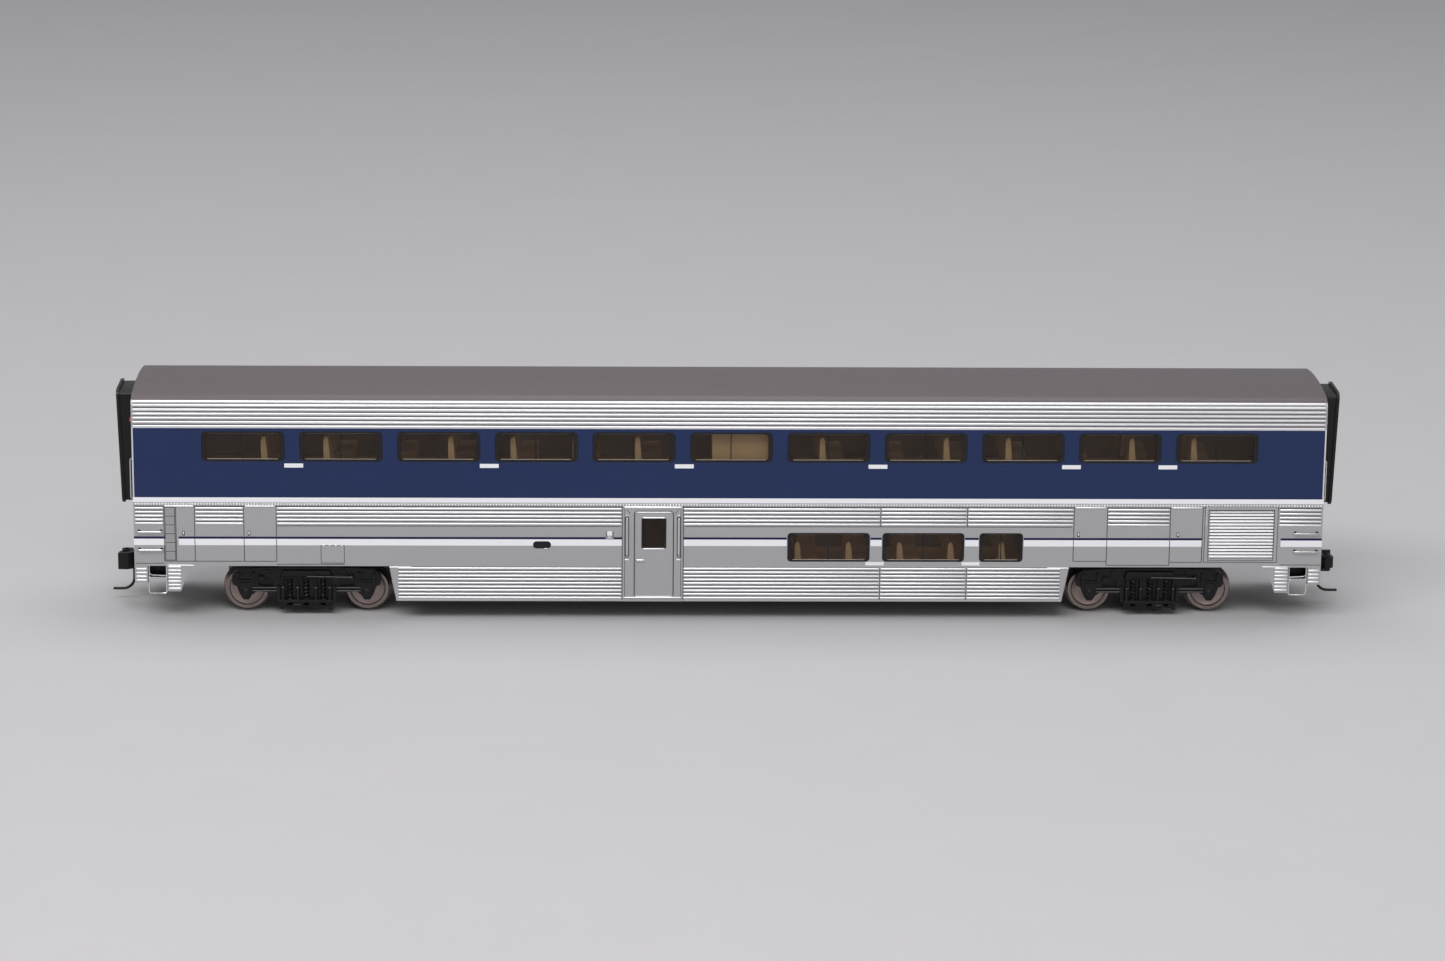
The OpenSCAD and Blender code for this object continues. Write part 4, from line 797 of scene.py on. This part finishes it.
def make_lamps():
    lamps = Shape("red", "bright")
    boxes = Shape("lamp", "groove", "silver")
    for end in (-1, 1):
        for side in (-1, 1):
            put = lambda a, b, h, end=end, side=side: (end * (HALF_L + h), side * 13.2 + a, 49.5 + b)
            lens = [(0.001, -0.4), (1.0, -0.4), (1.0, 0.2), (0.9, 0.5), (0.6, 0.72), (0.001, 0.78)]
            lamps.lathe(lens, put, 24)
            lamps.lathe([(0.98, -0.2), (1.1, -0.2), (1.1, 0.3), (0.98, 0.38)], put, 24, 1)
    for side in (-1, 1):
        place = on_side(side)
        skin(boxes, side, rect(-30.5, 20.62, -28.55, 22.75), 0.1, slot=2)
        for x in (-30.42, -28.78):
            boxes.plate(place, rect(x, 21.0, x + 0.15, 22.6), HALF_W + 0.05, HALF_W + 0.16, slot=1)
        boxes.plate(place, round_rect(-30.15, 21.65, -28.9, 22.7, 0.2, 3), HALF_W, HALF_W + 0.5)
        rib(boxes, side, -30.1, -28.95, 21.2, 0.18, 0.3)
    lamps.build("end_lamps", "coach_body", "red_lens", ["marker_lamps"])
    boxes.build_plated("lamp_boxes", bevel=0.08)


# ---- Diaphragms ----

def make_diaphragm(name, end):
    shape = Shape("black")
    ys, z0, z1 = 6.5, 27.2, 54.7
    low, high = 26.8, 55.3
    fitted = lambda y, z, x: (end * (x if x < 145 else x + 0.9 * (z - low) / (high - low)), y, z)
    shape.plate(fitted, round_rect(-ys, z0, ys, z1, 0.9, 5), 143.9, 148.95,
                [round_rect(-5.7, z0 + 0.8, 5.7, z1 - 0.8, 0.5, 5)])
    r = 1.6
    outer = [(-6, low), (6, low), (7, low + 1), *arc_points((7 - r, high - r), r, 0, math.pi / 2, 6),
             *arc_points((-7 + r, high - r), r, math.pi / 2, math.pi, 6), (-7, low + 1)]
    inner = round_rect(-5.5, z0 + 0.9, 5.5, z1 - 0.9, 0.5, 4)
    lean = lambda z: 0.9 * (z - low) / (high - low)
    tilted = lambda y, z, x: (end * (x + lean(z)), y, z)
    shape.plate(tilted, outer, 148.75, 149.48, [inner])
    for z in (z0 + 5, z1 - 5):
        for y in (-6.25, 6.25):
            head = [(0.001, 0), (0.3, 0), (0.25, 0.02), (0.001, 0.02)]
            shape.lathe(head, lambda a, b, h, y=y, z=z: (end * (149.48 + lean(z) + h), y + a, z + b), 10)
    body = "diaphragm_" + name
    shape.build(body, body, "black_plastic", ["diaphragm_plate_" + name], bevel=0.15)


# ---- Seats ----

def seat_rows(rows, floor_z, depth, back_h, base_h, inner_t, outer_t):
    """Rows of seats: a padded base, and a back that narrows towards its rounded top."""
    shape = Shape("tan")
    for x in rows:
        for side in (-1, 1):
            place = lambda u, v, t, side=side, x=x: (x + u, side * t, floor_z + v)
            back = [(-1.5, base_h * 0.7), (-1.55, back_h - 1.2), (-1.35, back_h - 0.45), (-1.0, back_h - 0.1),
                    (-0.6, back_h - 0.1), (-0.3, back_h - 0.5), (0.1, back_h * 0.6), (0.55, base_h)]
            base = [(-0.1, 0.02), (depth - 0.5, 0.02), (depth - 0.1, 1.0), (depth - 0.1, base_h - 0.6),
                    (depth - 0.6, base_h - 0.1), (0.7, base_h - 0.4), (-0.8, base_h * 0.72)]
            middle = (inner_t + outer_t) / 2
            for low, high in ((inner_t + 0.1, middle - 0.15), (middle + 0.15, outer_t - 0.1)):
                shape.plate(place, back, low, high)
                shape.plate(place, base, low, high)
    return shape


def make_seats():
    upper = [sign * (22.6 + 15.2 * i) + 0.7 for i in range(7) for sign in (-1, 1)]
    lower = [17.5 + 12.6 * i for i in range(5)]
    seat_rows(upper, 33.0, 5.4, 12.8, 4.6, 3.6, 14.8).build(
        "upper_seating", "coach_body", "tan_plastic", ["upper_seats"], bevel=0.2)
    seat_rows(lower, 9.6, 4.8, 9.6, 4.0, 3.6, 14.4).build(
        "lower_seating", "coach_body", "tan_plastic", ["lower_seats"], bevel=0.2)


# ---- Trucks ----

def truck_place(end):
    return lambda x, y, z: (end * (TRUCK_X + x), end * y, z)


def frame_rim():
    """Upper edge of one half of a side frame, from its end to its middle."""
    wb = HALF_WB
    return [(wb + 3.4, 10.0), (wb + 2.9, 11.0), (wb + 1.6, 11.7), (wb - 1.0, 12.0), (5, 12.25)]


def frame_outline():
    wb = HALF_WB
    return mirrored([(6.4, 3.4), (7.3, 4.2), (7.5, 5.6), (wb - 2.6, 5.9), (wb - 1.5, 5.1), (wb - 0.65, 3.8),
                     (wb + 0.65, 3.8), (wb + 1.5, 5.1), (wb + 2.3, 7.2), (wb + 3.2, 7.6), (wb + 3.5, 8.6),
                     *frame_rim()])


def make_truck(name, end):
    body = "truck_" + name
    put = truck_place(end)
    frame_piece = Shape("black")
    springs = Shape("black", "rod")
    plank = Shape("black", "rod")
    rods = Shape("rod")
    for side in (-1, 1):
        place = lambda x, z, t, side=side: put(x, side * t, z)
        make_frame_side(frame_piece, put, place, side)
        make_springs(springs, put, side)
        make_plank(plank, place)
        y = side * 14.45
        rods.tube([put(-side * 0.2, y, 10.2), put(-side * (HALF_WB - 3.6), y, 9.95)], 0.14)
        for x in (0.4, HALF_WB - 3.7):
            rods.tube([put(-side * x, side * 13.15, 10.1), put(-side * x, y, 10.1)], 0.15)
        for s in (-1, 1):
            for z in (6.2, 7.0):
                rods.tube([put(s * 7.0, side * 13.5, z), put(s * (HALF_WB - 1.6), side * 13.5, z)], 0.11)
    plank.block(put(-2.4, -12.6, 1.9), put(2.4, 12.6, 2.9))
    for y in (-6.0, 0.0, 6.0):
        plank.block(put(-2.55, y - 0.3, 1.85), put(2.55, y + 0.3, 2.95))
    frame_piece.build("truck_frame_" + name, body, "black_plastic", ["side_frames_" + name], bevel=0.1)
    springs.build("truck_springs_" + name, body, "black_plastic")
    plank.build("truck_plank_" + name, body, "black_plastic", ["spring_plank_" + name], bevel=0.08)
    rods.build("truck_rods_" + name, body, "steel_wire", ["anchor_rods_" + name])


def make_frame_side(shape, put, place, side):
    wb = HALF_WB
    window = [(8, 7.2), (wb - 3.0, 7.4), (wb - 3.0, 8.7), (8.3, 9.1)]
    shape.plate(place, frame_outline(), 11.75, 12.2)
    shape.plate(place, frame_outline(), 12.15, 13.05, [window, [(-x, z) for x, z in window]])
    rim = mirrored(frame_rim())
    shape.plate(place, rim + [(x * 0.985, z - 0.6) for x, z in reversed(rim)], 13.0, 13.58)
    for s in (-1, 1):
        x = s * wb
        shape.plate(place, [(x - 2.2, 8.9), (x - 1.9, 7.3), (x - 1.2, 5.4), (x - 0.5, 4.1), (x + 0.5, 4.1),
                            (x + 1.2, 5.4), (x + 1.9, 7.3), (x + 2.2, 8.9)], 12.9, 13.5)
        shape.plate(place, [(x - 1.3, 8.3), (x - 1.0, 6.0), (x - 0.45, 4.8), (x + 0.45, 4.8), (x + 1.0, 6.0),
                            (x + 1.3, 8.3)], 13.4, 14.0)
        for dx in (-1.85, 1.85):
            shape.plate(place, rect(x + dx - 0.22, 7.4, x + dx + 0.22, 10.9), 12.9, 13.7)
        cap = lambda a, b, h, x=x: put(x + a, side * (13.98 + h), AXLE_Z + b)
        shape.lathe([(0.001, 0), (1, 0), (1, 0.16), (0.86, 0.26), (0.5, 0.28), (0.5, 0.4), (0.001, 0.42)],
                    cap, 20)
        for k in range(3):
            a = math.radians(90 + 120 * k)
            bolt = lambda u, v, h, x=x, a=a: put(x + 0.7 * math.cos(a) + u, side * (14.2 + h),
                                                 AXLE_Z + 0.7 * math.sin(a) + v)
            shape.lathe([(0.001, 0), (0.12, 0), (0.1, 0.1), (0.001, 0.12)], bolt, 6)
        for dx in (-3.4, -1.0, 1.0, 3.4):
            if abs(x + dx) < wb + 2.9:
                head = lambda a, b, h, x=x + dx: put(x + a, side * (12.98 + h), 10.4 + b)
                shape.lathe([(0.001, 0), (0.28, 0), (0.22, 0.16), (0.001, 0.18)], head, 8)
        shape.plate(place, rect(s * 9.3 - 0.3, 9.1, s * 9.3 + 0.3, 12.1), 13.0, 13.55)
        shape.plate(place, [(s * 11.0 - 0.9, 8.9), (s * 11.0 + 0.9, 8.9), (s * 11.0 + 0.7, 9.9),
                            (s * 11.0 - 0.7, 9.9)], 13.0, 13.8)
        shape.plate(place, [(s * 6.9 - 0.4, 3.6), (s * 6.9 + 0.4, 3.6), (s * 7.0 + 0.3, 7.5),
                            (s * 7.0 - 0.5, 7.5)], 13.0, 13.9)
    shape.plate(place, [(-6.3, 10.0), (6.3, 10.0), (5.7, 11.5), (-5.7, 11.5)], 13.0, 14.1)
    shape.plate(place, rect(-6.5, 9.75, 6.5, 10.0), 13.0, 14.4)
    shape.plate(place, rect(-6.4, 3.42, 6.4, 4.1), 13.0, 14.4)
    for x in (-5.9, -2.2, 2.2, 5.9):
        shape.plate(place, rect(x - 0.25, 4.0, x + 0.25, 9.9), 12.95, 13.35)


def make_springs(shape, put, side):
    """Coil springs and dampers between the plank and the frame."""
    for x, radius in ((-4.1, 0.62), (0.1, 0.72), (4.1, 0.62)):
        turns, steps = 6, 12
        path = []
        for i in range(turns * steps + 1):
            a = 2 * math.pi * i / steps
            path.append(put(x + radius * math.cos(a), side * (13.75 + 0.55 * math.sin(a)),
                            4.15 + 5.55 * i / (turns * steps)))
        shape.tube(path, 0.19, 6)
        shape.tube([put(x, side * 13.7, 4.1), put(x, side * 13.7, 9.8)], 0.3, 8)
        for z in (4.1, 9.45):
            cup = lambda a, b, h, x=x, z=z: put(x + a, side * 13.72 + side * b, z + h)
            shape.lathe([(0.001, 0), (radius + 0.15, 0), (radius + 0.15, 0.25), (0.001, 0.25)], cup, 14)
    for x in (-2.3, 2.1, 5.75, -5.75):
        damper = lambda a, b, h, x=x: put(x + a, side * 13.95 + side * b, 4.1 + h)
        shape.lathe([(0.001, 0), (0.42, 0), (0.46, 0.3), (0.46, 2.9), (0.34, 3.1), (0.26, 3.1), (0.26, 5.6),
                     (0.001, 5.6)], damper, 14)
        shape.tube([put(x - 0.35, side * 14.32, 7.25), put(x + 0.35, side * 14.32, 7.25)], 0.09, 6, 1)


def make_plank(shape, place):
    """Low plate of a truck, with feet at its corners and a wavy lower edge."""
    lower = [(-6.55, 1.5), (-5.7, 1.5), (-5.4, 2.0), (-3.6, 2.1), (-3.1, 1.75), (-1.2, 1.75), (-0.8, 2.15),
             (0.8, 2.15), (1.2, 1.75), (3.1, 1.75), (3.6, 2.1), (5.4, 2.0), (5.7, 1.5), (6.55, 1.5)]
    upper = [(6.55, 2.5), (6.1, 3.3), (-6.1, 3.3), (-6.55, 2.5)]
    shape.plate(place, lower + upper, 12.9, 13.5)
    shape.plate(place, rect(-5.6, 2.6, 5.6, 3.36), 10.4, 13.75)
    for x in (-4.1, 0.1, 4.1):
        shape.plate(place, [(x - 0.8, 2.3), (x + 0.8, 2.3), (x + 0.6, 3.2), (x - 0.6, 3.2)], 13.4, 13.75)
    shape.plate(place, rect(1.6, 2.72, 3.2, 2.86), 13.7, 13.78, slot=1)


def make_wheels(number):
    """The two wheels of a wheelset; r is the radius of their treads."""
    body = f"wheelset_{number}"
    low, high = box_mm(f"wheels_{number}")
    x = (low.x + high.x) / 2
    r = (high.x - low.x) / 2 - 0.7
    wheels = Shape("wheel", "tread", "black")
    for side in (-1, 1):
        place = lambda a, b, h, side=side: (x + a, side * h, AXLE_Z + b)
        back, front = 7.2, 10.1
        profile = [(1.0, back), (r + 0.55, back), (r + 0.7, back + 0.12), (r + 0.68, back + 0.36),
                   (r + 0.4, back + 0.58), (r + 0.02, back + 0.8), (r - 0.05, front - 0.1), (r - 0.13, front),
                   (r - 0.5, front), (r - 0.56, front - 0.06), (r - 0.62, front - 0.12), (r - 0.86, front - 0.12),
                   (r - 0.9, front - 0.45), (r - 1.06, front - 0.45), (r - 1.1, front - 0.16),
                   (r - 1.35, front - 0.06), (3.2, front - 0.3), (2.2, front - 0.26), (1.75, front - 0.06),
                   (1.55, front - 0.02), (1.0, front - 0.02)]
        # Slot 2 paints the groove in the wheel face black: painted shade in the groove.
        slots = [0, 1, 1, 1, 1, 1, 1, 1, 0, 0, 0, 2, 2, 2, 0, 0, 0, 0, 0, 0, 0]
        wheels.lathe(profile, place, 72, slots=slots)
    wheels.build(f"wheel_pair_{number}", body, "nickel_silver", [f"wheels_{number}"], smooth=28)


# ---- Couplers ----

def coupler_place(end):
    return lambda x, y, z: (end * (COUPLER_X + x), end * y, z)


def make_coupler(name, end):
    put = coupler_place(end)
    low, high = COUPLER_Z - 2.1, COUPLER_Z + 2.1
    lug = 0.7
    pin = (9.0, -1.7)
    reach = 10.7
    head = Shape("black")
    shank = (COUPLER_Z - 0.6, COUPLER_Z + 0.7)
    head.plate(put, circle(0, 0, 2.4, 16), *shank, [circle(0, 0, 1.37, 16)])
    head.plate(put, rect(1.9, -1.05, 7.0, 1.05), shank[0] + 0.05, shank[1] - 0.05)
    head.plate(put, [(6.6, -1.3), (7.6, -1.3), (7.6, 0.3), (8.3, 1.3), (reach - 0.3, 1.9), (reach - 0.1, 2.5),
                      (8.2, 2.6), (6.6, 1.6)], low, high)
    for z in (low, high - lug):
        head.plate(put, [(7.2, -2.5), (8.9, -2.7), (8.9, -0.8), (7.2, -0.4)], z, z + lug)
        head.plate(put, circle(*pin, 1, 12), z, z + lug)
    head.lathe([(0.001, low), (0.45, low), (0.45, high), (0.001, high)],
               lambda a, b, h: put(pin[0] + a, pin[1] + b, h), 16)
    head.plate(lambda x, z, y: put(x, y, z),
               [(7.0, low + 0.5), (7.9, high - 0.7), (7.75, high - 0.6), (6.85, low + 0.6)], 1.2, 1.75)
    head.build("coupler_" + name, "coupler_" + name, "black_plastic", ["coupler_head_" + name], bevel=0.12)

    knuckle = Shape("black")
    bottom, top = low + lug + 0.08, high - lug - 0.08
    knuckle.plate(put, circle(*pin, 1, 12), bottom, top, [circle(*pin, 0.52, 12)])
    knuckle.plate(put, [(pin[0] + 0.6, pin[1] - 0.75), (reach - 0.5, -2.45), (reach - 0.12, -2.1),
                        (reach, -1.5), (reach, -0.1), (reach - 0.2, 0.28), (reach - 0.7, 0.38),
                        (reach - 0.9, -0.6), (pin[0] + 0.62, pin[1] + 0.7)], bottom, top)
    knuckle.build("coupler_knuckle_" + name, "knuckle_unit_" + name, "black_plastic", ["knuckle_" + name],
                  bevel=0.1)

    trip = Shape("black")
    r, drop, end_x = 2.8, 5.6, 12.15
    path = [put(6.9, 0, low), put(6.9, 0, low - drop + r + 0.6)]
    for i in range(13):
        a = math.radians(180 + 90 * i / 12)
        path.append(put(6.9 + r + r * math.cos(a), 0, low - drop + r + r * math.sin(a)))
    path += [put(end_x - 0.2, 0, low - drop), put(end_x, 0, low - drop)]
    trip.tube(path, 0.34, 16)
    trip.build("trip_wire_" + name, "coupler_" + name, "black_plastic", ["trip_pin_" + name])


# ---- Carried-over CAD nodes ----

CARRIED = {
    "silver": ["end_doors"],
    "rubber": ["step_wells"],
    "glass": ["door_panes"],
    "tan": ["upper_deck", "lower_deck", "stair_core"],
    "black": ["underframe", "coupler_pockets", "coupler_pocket_lids", "gangway_frames",
              *["truck_bolster_" + letter for letter in "ab"], *["bush_" + digit for digit in "1234"]],
    "steel": ["ballast_weights", "floor_screws", "kingpin_screws", "coupler_screws", "centring_springs",
              "diaphragm_springs", *["knuckle_spring_" + letter for letter in "ab"],
              *["axle_" + digit for digit in "1234"]],
}


def paint_carried():
    for key, nodes in CARRIED.items():
        for node in nodes:
            mesh = frame["nodes"][node].data
            mesh.materials.clear()
            mesh.materials.append(MATERIALS[key])


def make_floor():
    mesh = bpy.data.meshes.new("studio_floor")
    reach, depth = 3.0, 5.0
    mesh.from_pydata([(-reach, -reach, 0), (reach, -reach, 0), (reach, depth, 0), (-reach, depth, 0)], [],
                     [(0, 1, 2, 3)])
    mesh.materials.append(MATERIALS["floor"])
    floor = bpy.data.objects.new("studio_floor", mesh)
    link(floor)


make_camera()
make_lights()
for side_name, side_sign in SIDES.items():
    make_side(side_name, side_sign)
make_roof()
for end_name, end_sign in ENDS.items():
    make_end(end_name, end_sign)
    make_diaphragm(end_name, end_sign)
    make_truck(end_name, end_sign)
    make_coupler(end_name, end_sign)
for wheelset in range(1, 5):
    make_wheels(wheelset)
make_wires()
make_lamps()
make_seats()
paint_carried()
make_floor()
